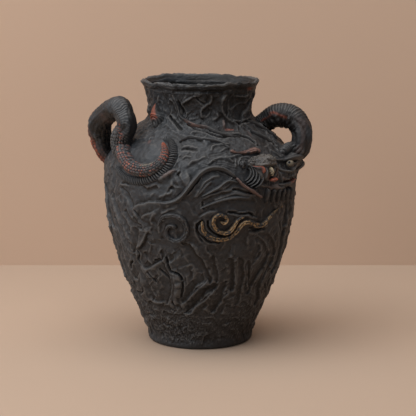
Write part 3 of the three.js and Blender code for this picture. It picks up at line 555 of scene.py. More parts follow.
# The round field inside the coil, hair swept back from the face and folds under the neck
SHOULDER_MARKS = (
    (calm, {}, (
        (-36, 38, 26, 22, 0.15), (14, 40, 50, 22, 0.4), (42, 42, 26, 30, 0.25),
        (70, 5, 30, 26, 0.3),
    )),
    (dab, {}, (
        (-36, 40, 13, 12, 1.2, 6),
    )),
    (smear, {"lip": 0.5}, (
        ([(-58, 56), (-57, 60), (-55, 63)], 4, 1.0), ([(-36, 63), (-25, 59), (-16, 55)], 4, 0.9),
        ([(-13, 54), (-7, 51), (0, 51)], 3.2, 0.9), ([(61, 61), (58, 55), (54, 48)], 5, 0.8),
        ([(-28, 58), (-18, 53), (-13, 47)], 3, 1.0),
    )),
    (ridge, {}, (
        ([(-8, 57), (-6, 60), (0, 61), (5, 60)], 1.6, 1.5),
        ([(8, 42), (9, 46), (12, 48), (19, 49), (23, 49)], 1.4, 1.4),
        ([(13, 41), (17, 44), (22, 46)], 1.2, 1.2),
        ([(7, 57), (4, 55), (4, 50), (7, 48)], 1.5, 1.4),
        ([(12, 62), (20, 60), (29, 59), (39, 58)], 1.3, 1.2),
        ([(80, 64), (79, 60), (72, 54), (66, 48), (65, 40)], 1.2, 1.4),
        ([(73, 56), (65, 50), (61, 44), (62, 35)], 1.2, 1.3),
        ([(54, 40), (55, 37), (59, 31)], 1.2, 1.2),
        ([(50, 66), (56, 58), (62, 50), (70, 44)], 1.0, 1.0),
        ([(-7, 27), (-5, 32), (-1, 34), (2, 36), (5, 38)], 1.5, 1.5),
        ([(5, 29), (8, 34), (12, 36), (17, 35), (22, 30)], 1.4, 1.4),
        ([(15, 37), (20, 36), (25, 38), (29, 38)], 1.2, 1.2),
        ([(-11, 35), (-8, 38), (-4, 37)], 1.3, 1.3),
        ([(24.2, 29.5), (26.5, 34.1), (30.8, 35.2), (34, 33.1)], 0.9, 1.5),
        ([(23.8, 25.8), (25.6, 31.6), (29.6, 32.7), (32.6, 30.2)], 0.8, 1.3),
        ([(22, 24), (22.6, 30), (23.4, 34)], 0.9, 1.2),
    )),
    (cut, {}, (
        ([(5, 62), (10, 59), (17, 56), (25, 56), (34, 56), (40, 54), (43, 51), (45, 47)], 1.3, 2.2),
        ([(17, 54), (22, 54)], 1.2, 1.8), ([(-13, 44), (-9, 45), (-4, 44), (-1, 43)], 1.5, 2.0),
        ([(-14, 40), (-15, 34), (-17, 27)], 1.1, 2.0), ([(45, 47), (47, 43)], 1.8, 2.6),
    )),
    (comb, {}, (
        ([(2, 34), (10, 31), (18, 28), (25, 24)], 6, 2.6, 0.45),
        ([(0, 28), (8, 26), (16, 21), (22, 16)], 5, 2.4, 0.4),
        ([(6, 40), (16, 40), (26, 40)], 4, 2.6, 0.35),
        ([(64, 44), (72, 50), (78, 58)], 7, 2.8, 0.5),
    )),
    (dab, {}, (
        (6, 52, 3.4, 3.4, 1.6, 3),
    )),
)

# Strands up the neck and the big thumb mark at its right
NECK_MARKS = (
    (calm, {}, (
        (-30, 90, 16, 16, 0.5), (4, 92, 14, 14, 0.6),
    )),
    (smear, {"lip": 1.0}, (
        ([(-43, 103), (-41, 91), (-39, 80)], 5, 1.0), ([(3, 100), (5, 91), (6, 82)], 4.5, 1.3),
        ([(32, 98), (29, 90), (30, 80)], 3.5, 1.2),
    )),
    (ridge, {}, (
        ([(-29, 105), (-27, 98), (-23, 90), (-22, 82), (-19, 75), (-11, 71)], 1.6, 2.0),
        ([(-34, 96), (-29, 93), (-26, 86), (-24, 77), (-19, 69)], 1.3, 1.4),
        ([(-18.2, 90.7), (-6.8, 98.9), (4.8, 103)], 1.6, 2.0),
        ([(-11, 74), (-5, 74), (1, 76)], 1.1, 1.0),
        ([(12, 100.4), (11.2, 92.3), (4, 86.8), (2, 80), (2.8, 72.5)], 1.6, 2.4),
        ([(19, 81), (19, 75), (13, 71)], 1.4, 1.3),
        ([(28.8, 103), (23.4, 95.8), (23, 86.4), (26, 79.2), (34.2, 71.1), (49.4, 68.1)], 1.8, 2.8),
        ([(25.6, 72.9), (24, 63.1)], 1.8, 2.2), ([(35, 83), (46, 87), (62, 91)], 1.0, 0.9),
        ([(37, 97), (48, 96), (61, 98)], 1.4, 1.4), ([(-48, 100), (-50, 90), (-54, 80)], 1.3, 1.0),
    )),
    (cut, {}, (
        ([(-24, 95), (-20, 87), (-17, 78)], 1.3, 2.6),
        ([(-36, 76.8), (-25.2, 68.4), (-16.8, 62.8)], 1.2, 2.6),
        ([(-14, 69), (-6, 65), (2, 62)], 1.0, 1.6),
        ([(34, 72), (43, 68), (55, 68), (70, 69)], 1.3, 2.2),
        ([(-4, 98), (2, 92), (6, 90)], 0.9, 1.2),
    )),
    (flap, {}, (
        ([(70, 71), (55, 70), (43, 70), (35, 73)], 1.6, 4),
    )),
)

# Broad swellings and hollows, and pigment rubbed on the wall itself
LARGE_FORMS = (
    (dab, {}, (
        (-56, 33, 11, 9, 3.5), (-95, 20, 12, 10, 4), (86, 16, 18, 12, 3.5), (52, 14, 20, 16, 3.0),
        (93, 60, 14, 12, 3), (66, 30, 18, 12, 3), (-36, 19, 18, 5, 1.2), (46, 0, 18, 10, 2),
    )),
    (dab, {"power": 3}, (
        (32, 14, 8, 13, -2.5), (43, 89, 10, 15, -2.6), (12, 88, 7, 13, -2.2), (-8, 84, 9, 10, -1.2),
        (-34, 84, 7, 12, -1.4), (62, 84, 8, 14, 1.0), (-77, 79, 4, 5, 3.0), (14, 92, 6, 10, -1.4),
        (40, 92, 8, 10, -1.2),
    )),
    (stain, {}, (
        (ROSE, [(25.6, 72.9), (24, 63.1)], 1.8, 0.5),
        (ROSE, [(-22, 15), (-18, 20), (-14, 24)], 2.6, 0.45),
        (ROSE, [(48, 60), (47, 54)], 2.0, 0.4), (RED, [(24, 63), (33, 62)], 1.8, 0.8),
        (RED, [(-40, 47), (-42, 52)], 2.2, 0.25), (GOLD, [(55, -27), (60, -22)], 2, 0.5),
    )),
)


def work(marks):
    """Makes every mark of a table."""
    for tool, settings, rows in marks:
        for row in rows:
            tool(*row, **settings)


FULL_TURN = 6.283


def shape_grit():
    """Small unevenness all over, and grit in a few places."""
    u = np.arange(COLUMNS) / COLUMNS
    for cells, height, seed in ((48, 0.5, 1), (110, 0.4, 2), (230, 0.32, 3)):
        v = ROW_Y[:, None] * cells / FULL_TURN
        lift[:] += height * speckle(u[None, :] * cells, v, seed, cells)
    for angle, rise, reach, amount in (
        (-50, -145, 14, 0.5), (-30, -160, 10, 0.5), (8, -66, 12, 0.4), (60, -10, 12, 0.5),
        (66, -24, 12, 0.5), (-54, 62, 8, 0.4), (-10, -160, 26, 1.0), (40, -158, 20, 0.9),
        (-40, -166, 16, 0.8),
    ):
        at, apart = dab(angle, rise, reach, reach, 0.0)
        seen = speckle(u[at[1]] * 330, ROW_Y[at[0]] * 52.5, 4, 330)
        lift[at] += amount * seen * np.exp(-apart ** 2)


def shape_wall():
    """Models the whole skin of the wall, once."""
    knead()
    press_strokes()
    work((*LOWER_WALL_MARKS, *BELLY_MARKS, *SHOULDER_MARKS, *NECK_MARKS))
    shape_grit()
    np.copyto(lift, DEEPEST * np.tanh(lift / DEEPEST))
    work(LARGE_FORMS)


def blurred(values, size, around="wrap"):
    """A field evened out over size samples both ways."""
    made = values
    for axis in (0, 1):
        padded = np.pad(made, [(size, size) if a == axis else (0, 0) for a in (0, 1)],
                        mode="edge" if axis == 0 else around)
        total = np.cumsum(padded, axis=axis)
        high = np.take(total, np.arange(2 * size, total.shape[axis]), axis=axis)
        low = np.take(total, np.arange(0, total.shape[axis] - 2 * size), axis=axis)
        made = (high - low) / (2 * size)
    return made


def wear_and_shade_edges(relief, wide, close, around="wrap"):
    """The edge value, from a wide and a close blur: above zero on ridges, which are rubbed lighter as
    wear with a painted highlight, and below zero in hollows, which are darkened as painted shade.
    """
    broad = relief - blurred(relief, wide, around)
    tight = relief - blurred(relief, close, around)
    return np.clip(0.6 * broad / 0.9 + 0.6 * tight / 0.45, -1, 1)


def start(name, add, **settings):
    """Adds a primitive at the origin. Gives it and the places of its points."""
    bpy.ops.object.select_all(action="DESELECT")
    add(location=(0, 0, 0), **settings)
    piece = bpy.context.object
    piece.name = name
    flat = np.empty(len(piece.data.vertices) * 3, np.float32)
    piece.data.vertices.foreach_get("co", flat)
    return piece, flat.reshape(-1, 3)


def shift(mesh, points):
    """Puts a mesh's points in their places, given in metres."""
    mesh.vertices.foreach_set("co", points.astype(np.float32).ravel())


def skin(name, points, paint=None, edge=None, normals=None):
    """A piece from a grid of points: Blender's grid, drawn into shape, with its seams merged."""
    rows, columns = points.shape[:2]
    piece, flat = start(
        name, bpy.ops.mesh.primitive_grid_add, x_subdivisions=columns - 1,
        y_subdivisions=rows - 1, size=2, calc_uvs=False)
    mesh = piece.data
    if len(mesh.vertices) != rows * columns:
        raise RuntimeError("the grid primitive didn't have the size that was asked for")
    i = np.rint((flat[:, 0] + 1) / 2 * (columns - 1)).astype(int)
    j = np.rint((flat[:, 1] + 1) / 2 * (rows - 1)).astype(int)
    shift(mesh, points[j, i] * MM)
    give(mesh, "paint", "FLOAT_COLOR", paint, (rows, columns, 4), (j, i))
    give(mesh, "edge", "FLOAT", edge, (rows, columns), (j, i))
    if normals is not None:
        give(mesh, "outward", "FLOAT_VECTOR", normals, (rows, columns, 3), (j, i))
    bpy.ops.object.mode_set(mode="EDIT")
    bpy.ops.mesh.select_all(action="SELECT")
    bpy.ops.mesh.remove_doubles(threshold=MERGE)
    bpy.ops.object.mode_set(mode="OBJECT")
    bpy.ops.object.shade_smooth()
    if normals is not None:
        outward = np.empty(len(mesh.vertices) * 3, np.float32)
        mesh.attributes["outward"].data.foreach_get("vector", outward)
        mesh.normals_split_custom_set_from_vertices(outward.reshape(-1, 3))
        mesh.attributes.remove(mesh.attributes["outward"])
    return piece


def give(mesh, name, kind, values, shape, order):
    """Stores a value for each vertex, zero where there is none."""
    made = mesh.attributes.new(name, kind, "POINT")
    full = np.broadcast_to(np.asarray(0.0 if values is None else values, np.float32), shape)
    field = {"FLOAT": "value", "FLOAT_COLOR": "color", "FLOAT_VECTOR": "vector"}[kind]
    made.data.foreach_set(field, np.ascontiguousarray(full[order]).ravel())


def painted(shape, amounts, *part):
    """The pigments of a whole piece, where amounts holds those of one part of it."""
    colour = np.zeros((*shape, 4))
    for channel, amount in amounts.items():
        colour[(*part, channel)] = amount
    return colour


def wall_skin():
    """The wall's points, its outward normals and its edge values, which give wear with painted
    highlights on ridges and painted shade in hollows, with the first column again.
    """
    x = np.radians(ANGLES)
    lift[:] *= smooth(-1, 9, ROW_Z)[:, None]
    points = wall_point(x[None, :], ROW_Y[:, None], lift)
    points[..., 2] = np.maximum(points[..., 2], 0)
    aside = np.roll(points, -1, 1) - np.roll(points, 1, 1)
    normals = unit(np.cross(aside, np.gradient(points, axis=0)))
    worn = wear_and_shade_edges(lift, 5, 2)
    close = CLOSED % COLUMNS
    return points[:, close], normals[:, close], worn[:, close], pigment[:, close]


def inner_face(heights):
    """Points of the wall's inner face at some heights, thumbed a little."""
    x, u = np.radians(CLOSED_ANGLES), CLOSED / COLUMNS
    y = np.interp(heights, LINE_Z, LINE_Y)
    dents = 0.9 * speckle(u[None, :] * 40, y[:, None] * 7, 8, 40)
    return wall_point(x[None, :], y[:, None], dents - WALL)


INSIDE_STEP = 7
# Edge value of the wall's inner face: below zero, so the inside of the jar is darkened as painted
# shade.
INSIDE_SHADE = -0.5


def ring_piece(name, low, high, skin_parts):
    """A ring of the wall: its modelled outer face, a ledge at each joint and its inner face."""
    points, normals, worn, paint = skin_parts
    rows = np.nonzero((ROW_Z > low - 0.01) & (ROW_Z < high + 0.01))[0]
    inside = inner_face(np.linspace(high, low, max(4, round((high - low) / INSIDE_STEP))))
    inward = unit(np.array([0, 0, 1.0]) * inside[..., 2:] - inside)

    def closed(outer, inner):
        return np.concatenate([outer[rows], inner, outer[rows[:1]]])

    # The inner face takes the low edge value: painted shade inside the jar.
    edges = closed(worn, np.full(inside.shape[:2], INSIDE_SHADE))
    colour = closed(paint, np.zeros((*inside.shape[:2], 4)))
    return skin(name, closed(points, inside), colour, edges, closed(normals, inward))


def foot_piece(skin_parts):
    """The foot: its underside, rounded edge and side, and the key inside the lowest ring."""
    points, normals, worn = skin_parts[:3]
    rows = np.nonzero(ROW_Z < FOOT_TOP + 0.01)[0]
    x = np.radians(CLOSED_ANGLES)

    def disc(radius, height):
        dent = 0.5 * speckle(CLOSED / COLUMNS * 24, radius / 9, 6, 24)
        return round_axis(radius, x, height + (dent if radius else 0))

    below = np.stack([disc(0, 1.0), disc(18, 1.0), disc(36, 1.0), disc(50, 0.6)])
    above = np.stack([disc(radius, 16) for radius in (50, 34, 17, 0)])
    down, up = np.zeros_like(below), np.zeros_like(above)
    down[..., 2], up[..., 2] = -1, 1
    edges = np.concatenate([np.zeros(below.shape[:2]), worn[rows], np.zeros(above.shape[:2])])
    return skin("foot_slab_clay", np.concatenate([below, points[rows], above]), None, edges,
                np.concatenate([down, normals[rows], up]))


def turned(angle):
    """An angle brought between -180 and 180 degrees."""
    return (angle + 180) % 360 - 180


def rim_piece(skin_parts):
    """The lip: the neck's last coil pinched thin by hand, uneven all the way round."""
    first = skin_parts[0][-1]
    angles = CLOSED_ANGLES
    u = angles / 360 + 0.5
    profile = curve_through([
        (63.2, 289.8), (64.2, 292.4), (65.3, 295.2), (66.4, 297.2), (66.8, 298.9),
        (65.8, 300.0), (64.0, 299.9), (62.2, 298.6), (60.6, 296.0), (59.0, 292.6),
        (57.4, 288.8), (56.2, 285.0),
    ], 6)
    count = len(profile)
    radius = np.repeat(profile[:, :1], COLUMNS + 1, 1)
    height = np.repeat(profile[:, 1:], COLUMNS + 1, 1)
    top = smooth(290, 298, profile[:, 1])[:, None]
    wave = 0.9 * speckle(u * 9, 0.5, 1, 9) + 0.55 * speckle(u * 31, 3.5, 2, 31)
    for angle, half, rise in (
        (-66, 7, 1.0), (-54, 5, -1.4), (-40, 12, 0.9), (-28, 4, -0.8), (18, 12, -0.6),
        (30, 4, 1.7), (42, 3, 1.8), (55, 4, 1.4), (68, 5, -0.8), (172, 10, 0.8), (150, 8, 1.4),
        (140, 4, -1.2), (-160, 12, 0.6), (-140, 5, 1.0),
    ):
        wave = wave + rise * np.exp(-(turned(angles - angle) / half) ** 2)
    height = height + top * wave[None, :]
    along = np.arange(count)[:, None] / 3.2
    bumps = sum(size * speckle(u[None, :] * cells, along * cells / 64, 5 + cells, cells)
                for cells, size in ((34, 1.1), (80, 1.0), (170, 0.55)))
    middle = np.array([60.5, 292.5])
    out = unit(np.stack([radius - middle[0], height - middle[1]], -1))
    within = (np.arange(count)[:, None] > 0.6 * count) * 1.0
    push = bumps + 0.9 * speckle(u * 14, 7.5, 7, 14)[None, :]
    ringed = speckle(u[None, :] * 16, profile[:, 1:] / 1.3, 17, 16)
    push = push * (1 - 0.5 * within) + 1.2 * within * ringed
    recess = np.exp(-((profile[:, 1:] - 293) / 2.2) ** 2) * (1 - within)
    recess = recess * (0.35 + smooth(32, 20, np.abs(angles - 2)))[None, :]
    rising = lift[-1, CLOSED % COLUMNS][None, :] * smooth(297, 290, profile[:, 1:])
    shove = push * np.maximum(top, 0.6 * within) - 1.8 * recess + 0.8 * rising * (1 - within)
    radius, height = radius + out[..., 0] * shove, height + out[..., 1] * shove * top
    body = round_axis(radius, np.radians(angles)[None, :], height)
    under = first * np.array([0.93, 0.93, 1.0])
    shell = np.concatenate([first[None], body, under[None], first[None]])
    edge = np.zeros(shell.shape[:2])
    # Edge value of the lip: the crown lighter, as wear with a painted highlight, and the groove under
    # it and the lip's inner side darker, as painted shade.
    crown = 0.7 * smooth(297.5, 299.6, profile[:, 1])[:, None]
    edge[1:count + 1] = np.clip(push / 1.4 + crown - 0.9 * recess - 0.75 * within, -1, 1)
    paint = np.zeros(shell.shape[:2] + (4,))
    spot = np.exp(-((angles - 62) / 5) ** 2)
    paint[4:12, :, RED] = 0.7 * spot
    return skin("rim_coil_clay", shell, paint, edge)


def lift_at(x, y):
    """The wall's modelled lift at places on the chart."""
    row = np.interp(y, ROW_Y, np.arange(len(ROW_Y)))
    column = (np.degrees(x) + 180) / COLUMN
    r0 = np.clip(np.floor(row).astype(int), 0, len(ROW_Y) - 2)
    c0 = np.floor(column).astype(int)
    fr, fc = row - r0, column - c0
    a, b = lift[r0, c0 % COLUMNS], lift[r0, (c0 + 1) % COLUMNS]
    c, d = lift[r0 + 1, c0 % COLUMNS], lift[r0 + 1, (c0 + 1) % COLUMNS]
    return (a * (1 - fc) + b * fc) * (1 - fr) + (c * (1 - fc) + d * fc) * fr


ACROSS = np.concatenate([np.linspace(-1.12, 1.12, 27), [0.7, -0.7, -1.12]])
SUNK = 2.5


def ribbon(name, route, half, shape, paint=None, step=0.7, seat=0.35, over=None):
    """A strip of clay along a route. shape(s, q, share, length) gives its height off the wall, or off
    what over gives, and its edge value, at s along it and q across it, from -1 to 1. An edge value
    above zero makes the clay lighter, as wear with a painted highlight, and one below zero darker, as
    painted shade."""
    raw, radius = route_line(route, 12)
    count = max(12, int(np.linalg.norm(np.diff(raw, axis=0), axis=1).sum() * radius / step))
    line, length = even(raw, count)
    length *= radius
    tangent = unit(np.gradient(line, axis=0))
    share = np.linspace(0, 1, count)
    reach = np.interp(share, np.linspace(0, 1, len(half)), half)
    ends = np.sqrt(np.clip(np.minimum(share, 1 - share) * length / (1.2 * reach), 4e-4, 1))
    local = wall_radius(line[:, 1])
    q = np.repeat(ACROSS[None, :], count, 0)
    offset = q * (reach * ends / local)[:, None]
    px = line[:, :1] - tangent[:, 1:] * offset
    py = line[:, 1:] + tangent[:, :1] * offset
    ground = lift_at(px, py)
    base = np.maximum(over(px, py), ground) if over else 0 * ground
    s = (share * length)[:, None]
    height, edge = shape(s, q, share[:, None], length)
    height, edge = np.broadcast_to(height, q.shape), np.clip(edge + 0 * q, -1, 1)
    inside = smooth(1.12, 0.96, np.abs(q))
    rim = np.maximum(base, ground) - 1.2
    top = inside * (base + height * ends[:, None] + seat * ground) + (1 - inside) * rim
    top[:, -3:] = np.minimum(ground[:, -3:], 0) - SUNK
    top[:, -1] = rim[:, 0]
    points = wall_point(px, py, top)
    first, last = points[:1].mean(1, keepdims=True), points[-1:].mean(1, keepdims=True)
    points = np.concatenate([first.repeat(q.shape[1], 1), points, last.repeat(q.shape[1], 1)])
    edge = np.concatenate([edge[:1], edge, edge[-1:]])
    made = paint(s, q, share[:, None], length) if paint else {}
    colour = painted(edge.shape, made, slice(1, -1), slice(None))
    return skin(name, points[:, ::-1], colour[:, ::-1], edge[:, ::-1])


def draw(px, py, strokes):
    """Lines of relief on places of the chart, ridges above zero and grooves below it."""
    made = np.zeros(np.shape(px))
    for route, half, height in strokes:
        line, radius = route_line(route, 6)
        share, across, length = beside(line, px, py, radius)
        made += height * np.exp(-(across / half) ** 2) * taper(share, length, 1.5 * half)
    return made


def oval(px, py, angle, rise, across, up, power=4.0):
    """1 in the middle of an oval and 0 outside it, for places on the chart."""
    x, y = on_chart(angle, rise)
    radius = wall_radius(y)
    return np.exp(-np.hypot((px - x) * radius / across, (py - y) * radius / up) ** power)


PATCH_STEP = 0.5


def patch(name, border, height, paint):
    """A closed sheet of clay on the wall. Its border is given as rise, left angle and right angle
    from its foot to its top, and height(px, py) is how far it stands off the wall."""
    rise, left, right = np.array(border, float).T
    y = on_chart(0, rise)[1]
    radius = wall_radius(y.mean())
    rows = np.linspace(y[0], y[-1], int((y[-1] - y[0]) * radius / PATCH_STEP))
    sides = []
    for angles in (left, right):
        line = curve_through(np.stack([np.radians(angles), y], 1), 8)
        sides.append(np.interp(rows, line[:, 1], line[:, 0])[:, None])
    t = np.linspace(0, 1, int((sides[1] - sides[0]).max() * radius / PATCH_STEP))
    px = sides[0] * (1 - t) + sides[1] * t
    py = np.repeat(rows[:, None], len(t), 1)
    apart = np.minimum(np.minimum(px - sides[0], sides[1] - px),
                       np.minimum(py - rows[0], rows[-1] - py)) * radius
    inside = smooth(0, 2.2, apart)
    ground = lift_at(px, py)
    top = inside * height(px, py) + (1 - inside) * (ground - 1.2)
    below = np.minimum(ground, 0) - SUNK
    below[[0, -1]] = top[[0, -1]]
    below[:, [0, -1]] = top[:, [0, -1]]
    points = wall_point(np.concatenate([px, px[:, ::-1]], 1), np.concatenate([py, py], 1),
                        np.concatenate([top, below[:, ::-1]], 1))
    # Edge value of the outer face: ridges lighter as wear with a painted highlight, hollows darker as
    # painted shade.
    edge = np.concatenate([wear_and_shade_edges(top, 8, 3, "edge"), np.zeros_like(top)], 1)
    colour = painted(edge.shape, paint(px, py), slice(None), slice(len(t)))
    return skin(name, points, colour, edge)


def lump(name, place, halves, detail, turn, paint, sit):
    """A rounded lump on the wall: half sizes round the jar, up it and out of it. detail(p) gives how
    far each point of the unit ball moves outwards, in mm, and its edge value: above zero lighter, as
    wear with a painted highlight, below zero darker, as painted shade."""
    piece, ball = start(name, bpy.ops.mesh.primitive_uv_sphere_add, segments=72, ring_count=48,
                        radius=1, calc_uvs=False)
    ball = ball.astype(float)
    moved, edge = detail(ball)
    size = np.array(halves, float)
    local = ball * size + unit(ball / size) * np.asarray(moved)[:, None]
    c, s = math.cos(math.radians(turn)), math.sin(math.radians(turn))
    a, b = local[:, 0] * c - local[:, 1] * s, local[:, 0] * s + local[:, 1] * c
    x, y = on_chart(*place)
    base = wall_point(x, y, sit)
    out = wall_point(x, y, sit + 1.0) - base
    side = np.array([math.cos(x), math.sin(x), 0])
    up = np.cross(out, side)
    points = base + a[:, None] * side + b[:, None] * up + local[:, 2:] * out
    shift(piece.data, points * MM)
    give(piece.data, "edge", "FLOAT", np.clip(edge, -1, 1), (len(ball),), slice(None))
    colour = painted((len(ball),), paint(ball) if paint else {}, slice(None))
    give(piece.data, "paint", "FLOAT_COLOR", colour, (len(ball), 4), slice(None))
    piece.data.update()
    bpy.ops.object.shade_smooth()
    return piece


def band(value, low, full, past, high):
    """1 from full to past, falling to 0 at low and at high."""
    return smooth(low, full, value) * smooth(high, past, value)


def rolls(value):
    """Rounded ridges, one to a unit, with sharp valleys between them."""
    return np.abs(np.sin(np.pi * value))


def rounded(q, power=2.4):
    """A full rounded section, 1 in the middle and 0 at the sides."""
    return (1 - np.minimum(np.abs(q), 1) ** power) ** 0.6


def scales(s, across, pitch, rows):
    """Overlapping scales in staggered rows: height from 0 to 1."""
    v = across * rows
    row = np.floor(v)
    along = s / pitch + 0.5 * (row % 2)
    u = along - np.floor(along)
    side = 1 - (2 * (v - row) - 1) ** 2
    return np.clip(side, 0, 1) ** 0.6 * (0.25 + 0.75 * u) * smooth(1.0, 0.88, u)


LIMB_STEP = 0.6
LIMB_SIDES = 140


def loop_tube(name, places, radii, shape, centre):
    """A limb of the dragon that stands clear of the wall, with its back away from centre."""
    angle, inset, rise = np.array(places, float).T
    places = round_axis(LINE_R.max() - inset, np.radians(angle), BELLY + rise)
    curve = curve_through(places, 16)
    count = int(even(curve, 8)[1] / LIMB_STEP)
    line, length = even(curve, count)
    share = np.linspace(0, 1, count)
    tangent = unit(np.gradient(line, axis=0))
    back = line - np.asarray(centre, float)
    back = unit(back - tangent * (back * tangent).sum(1)[:, None])
    side = np.cross(tangent, back)
    turn = np.linspace(0, 2 * np.pi, LIMB_SIDES + 1)[None, :]
    outward = back[:, None] * np.cos(turn)[..., None] + side[:, None] * np.sin(turn)[..., None]
    radius = np.interp(share, np.linspace(0, 1, len(radii)), radii)[:, None]
    extra, edge, colour = shape(share[:, None] * length, turn, share[:, None], outward)
    body = line[:, None] + (radius + extra)[..., None] * outward
    first, last = (end.repeat(LIMB_SIDES + 1, 1) for end in (line[:1, None], line[-1:, None]))
    body = np.concatenate([first, body, last])
    edge = np.clip(edge, -1, 1)
    edge = np.concatenate([edge[:1], edge, edge[-1:]])
    return skin(name, body, painted(edge.shape, colour, slice(1, -1), slice(None)), edge)


# Materials


class Nodes:
    """Adds nodes to a material and links them."""

    def __init__(self, name):
        self.material = bpy.data.materials.new(name)
        self.material.use_nodes = True
        self.tree = self.material.node_tree
        self.tree.nodes.clear()

    def add(self, kind, inputs=(), **settings):
        node = self.tree.nodes.new(kind)
        for key, value in settings.items():
            setattr(node, key, value)
        for key, value in dict(inputs).items():
            if isinstance(value, bpy.types.NodeSocket):
                self.tree.links.new(value, node.inputs[key])
            else:
                node.inputs[key].default_value = value
        return node

    def noise(self, place, scale, detail=4.0, rough=0.55):
        return self.add("ShaderNodeTexNoise", {
            "Vector": place, "Scale": scale, "Detail": detail,
            "Roughness": rough}).outputs["Fac"]

    def span(self, value, low, high, to_low=0.0, to_high=1.0):
        return self.add("ShaderNodeMapRange", {
            "Value": value, "From Min": low, "From Max": high,
            "To Min": to_low, "To Max": to_high}).outputs["Result"]

    def math(self, operation, a, b=0.0, clamp=False):
        return self.add("ShaderNodeMath", {0: a, 1: b},
                        operation=operation, use_clamp=clamp).outputs[0]

    def mix(self, share, a, b):
        return self.add("ShaderNodeMix", {"Factor": share, 6: a, 7: b},
                        data_type="RGBA").outputs[2]


def rgba(colour, share=1.0):
    """A colour with its alpha, darker by a share."""
    return (*(c * share for c in colour), 1.0)


def clay(name, rough=0.52, metal=0.0, wear_and_highlight=0.5):
    """Fired clay under a dark wash: charcoal turning in clouds to a darker, warmer umber towards the
    right and the bottom, partly a browner clay and partly painted shade with a warm painted bounce;
    darker again up the neck as painted shade; rubbed lighter on its edges, as wear with a painted
    highlight, and darkened in its hollows as painted shade; with the pigments that a piece carries in
    its paint attribute."""
    colours = bpy.context.scene.jar_colours
    base, second = colours.charcoal, colours.umber_shade
    n = Nodes(name)
    place = n.add("ShaderNodeTexCoord").outputs["Object"]
    paint = n.add("ShaderNodeAttribute", attribute_name="paint")
    edge = n.add("ShaderNodeAttribute", attribute_name="edge").outputs["Fac"]
    parts = n.add("ShaderNodeSeparateColor", {"Color": paint.outputs["Color"]}).outputs
    axes = n.add("ShaderNodeSeparateXYZ", {"Vector": place}).outputs
    cloud = n.noise(place, 26.0, 5.0)
    fine = n.noise(place, 420.0, 4.0, 0.65)
    blot = n.noise(place, 110.0, 3.0)
    # Painted shade: the share of umber grows towards the right and the bottom, where the jar is
    # darker and warmer. The umber is partly a browner clay and partly painted shade with a warm
    # painted bounce from the floor.
    slope = n.math("MULTIPLY_ADD", axes["X"], 2.6)
    slope.node.inputs[2].default_value = 0.42
    fall = n.math("MULTIPLY", axes["Z"], -1.5)
    mixed = n.math("ADD", n.math("ADD", slope, fall), n.span(cloud, 0.35, 0.65, -0.25, 0.35))
    lower = n.math("ADD", mixed, 0.12, clamp=True)
    body = n.mix(lower, rgba(base), rgba(second))
    body = n.mix(n.span(blot, 0.55, 0.8, 0.0, 0.45), body, rgba(base, 0.45))
    # Painted shade: darker from the top of the shoulder up the neck, more towards the right.
    neck_shade = n.math("MULTIPLY", n.span(axes["Z"], 0.248, 0.266, 0.0, 0.6),
                  n.span(axes["X"], -0.045, 0.02, 0.3, 1.0))
    body = n.mix(neck_shade, body, rgba(base, 0.3))
    # Ridges, where the edge value is high, are lightened towards the worn colour: wear with a painted
    # highlight.
    crest = n.span(n.math("ADD", edge, n.math("MULTIPLY", fine, 0.5)), 0.45, 1.15, 0.0, wear_and_highlight)
    body = n.mix(crest, body, rgba(colours.worn))
    # Painted shade: hollows, where the edge value is below zero, are darkened towards a dark umber.
    hollow_shade = n.span(edge, -0.1, -0.8, 0.0, 0.85)
    body = n.mix(hollow_shade, body, rgba(second, 0.3))
    rub = n.span(n.math("ADD", edge, n.math("MULTIPLY", fine, 0.9)), 0.1, 0.75)
    for socket, colour, body_share in (
        (parts["Red"], colours.red, 0.55), (parts["Green"], colours.gold, 0.35),
        (parts["Blue"], colours.rose, 0.7), (paint.outputs["Alpha"], colours.bone, 0.8),
    ):
        held = n.span(rub, 0.0, 1.0, body_share, 1.0)
        body = n.mix(n.math("MULTIPLY", socket, held, clamp=True), body, rgba(colour))
    grain = n.math("ADD", n.math("MULTIPLY", fine, 0.7), n.math("MULTIPLY", blot, 0.6))
    bump = n.add("ShaderNodeBump", {"Height": grain, "Strength": 0.75, "Distance": 0.001})
    shine = n.span(n.math("ADD", n.math("MULTIPLY", fine, 0.5), n.math("MULTIPLY", cloud, 0.5)),
                   0.3, 0.7, rough - 0.1, rough + 0.16)
    shader = n.add("ShaderNodeBsdfPrincipled", {
        "Base Color": body, "Roughness": shine, "Normal": bump.outputs["Normal"],
        "Specular IOR Level": 0.4})
    if metal:
        gold = n.math("MULTIPLY", parts["Green"], metal, clamp=True)
        n.tree.links.new(gold, shader.inputs["Metallic"])
    n.add("ShaderNodeOutputMaterial", {"Surface": shader.outputs["BSDF"]})
    return n.material


# The slots: each one's material and what sets it apart
FINISHES = {
    "charcoal_glaze": ("charcoal_stoneware", {}),
    "smooth_charcoal": ("smoothed_charcoal", {"rough": 0.46, "wear_and_highlight": 0.4}),
    "red_slip": ("red_slipped_clay", {"rough": 0.56}),
    "rose_slip": ("rose_slipped_clay", {"rough": 0.58}),
    "bone_slip": ("bone_slipped_clay", {"rough": 0.42}),
    "gilt": ("gilt_clay", {"rough": 0.46, "metal": 0.55, "wear_and_highlight": 0.3}),
}
materials = {}


def finish_of(slot):
    """The material of a slot, made once."""
    if slot not in materials:
        name, settings = FINISHES[slot]
        materials[slot] = clay(name, **settings)
    return materials[slot]


def place_piece(piece, node, slot="charcoal_glaze"):
    """Puts a finished piece in a CAD node's place."""
    piece.data.materials.clear()
    piece.data.materials.append(finish_of(slot))
    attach(piece, BODY)
    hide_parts(node)


def lay(node, route, half, shape, paint=None, slot="charcoal_glaze", **more):
    """Lays a strip of clay on the wall in a CAD node's place."""
    place_piece(ribbon(node + "_clay", route, half, shape, paint, **more), node, slot)


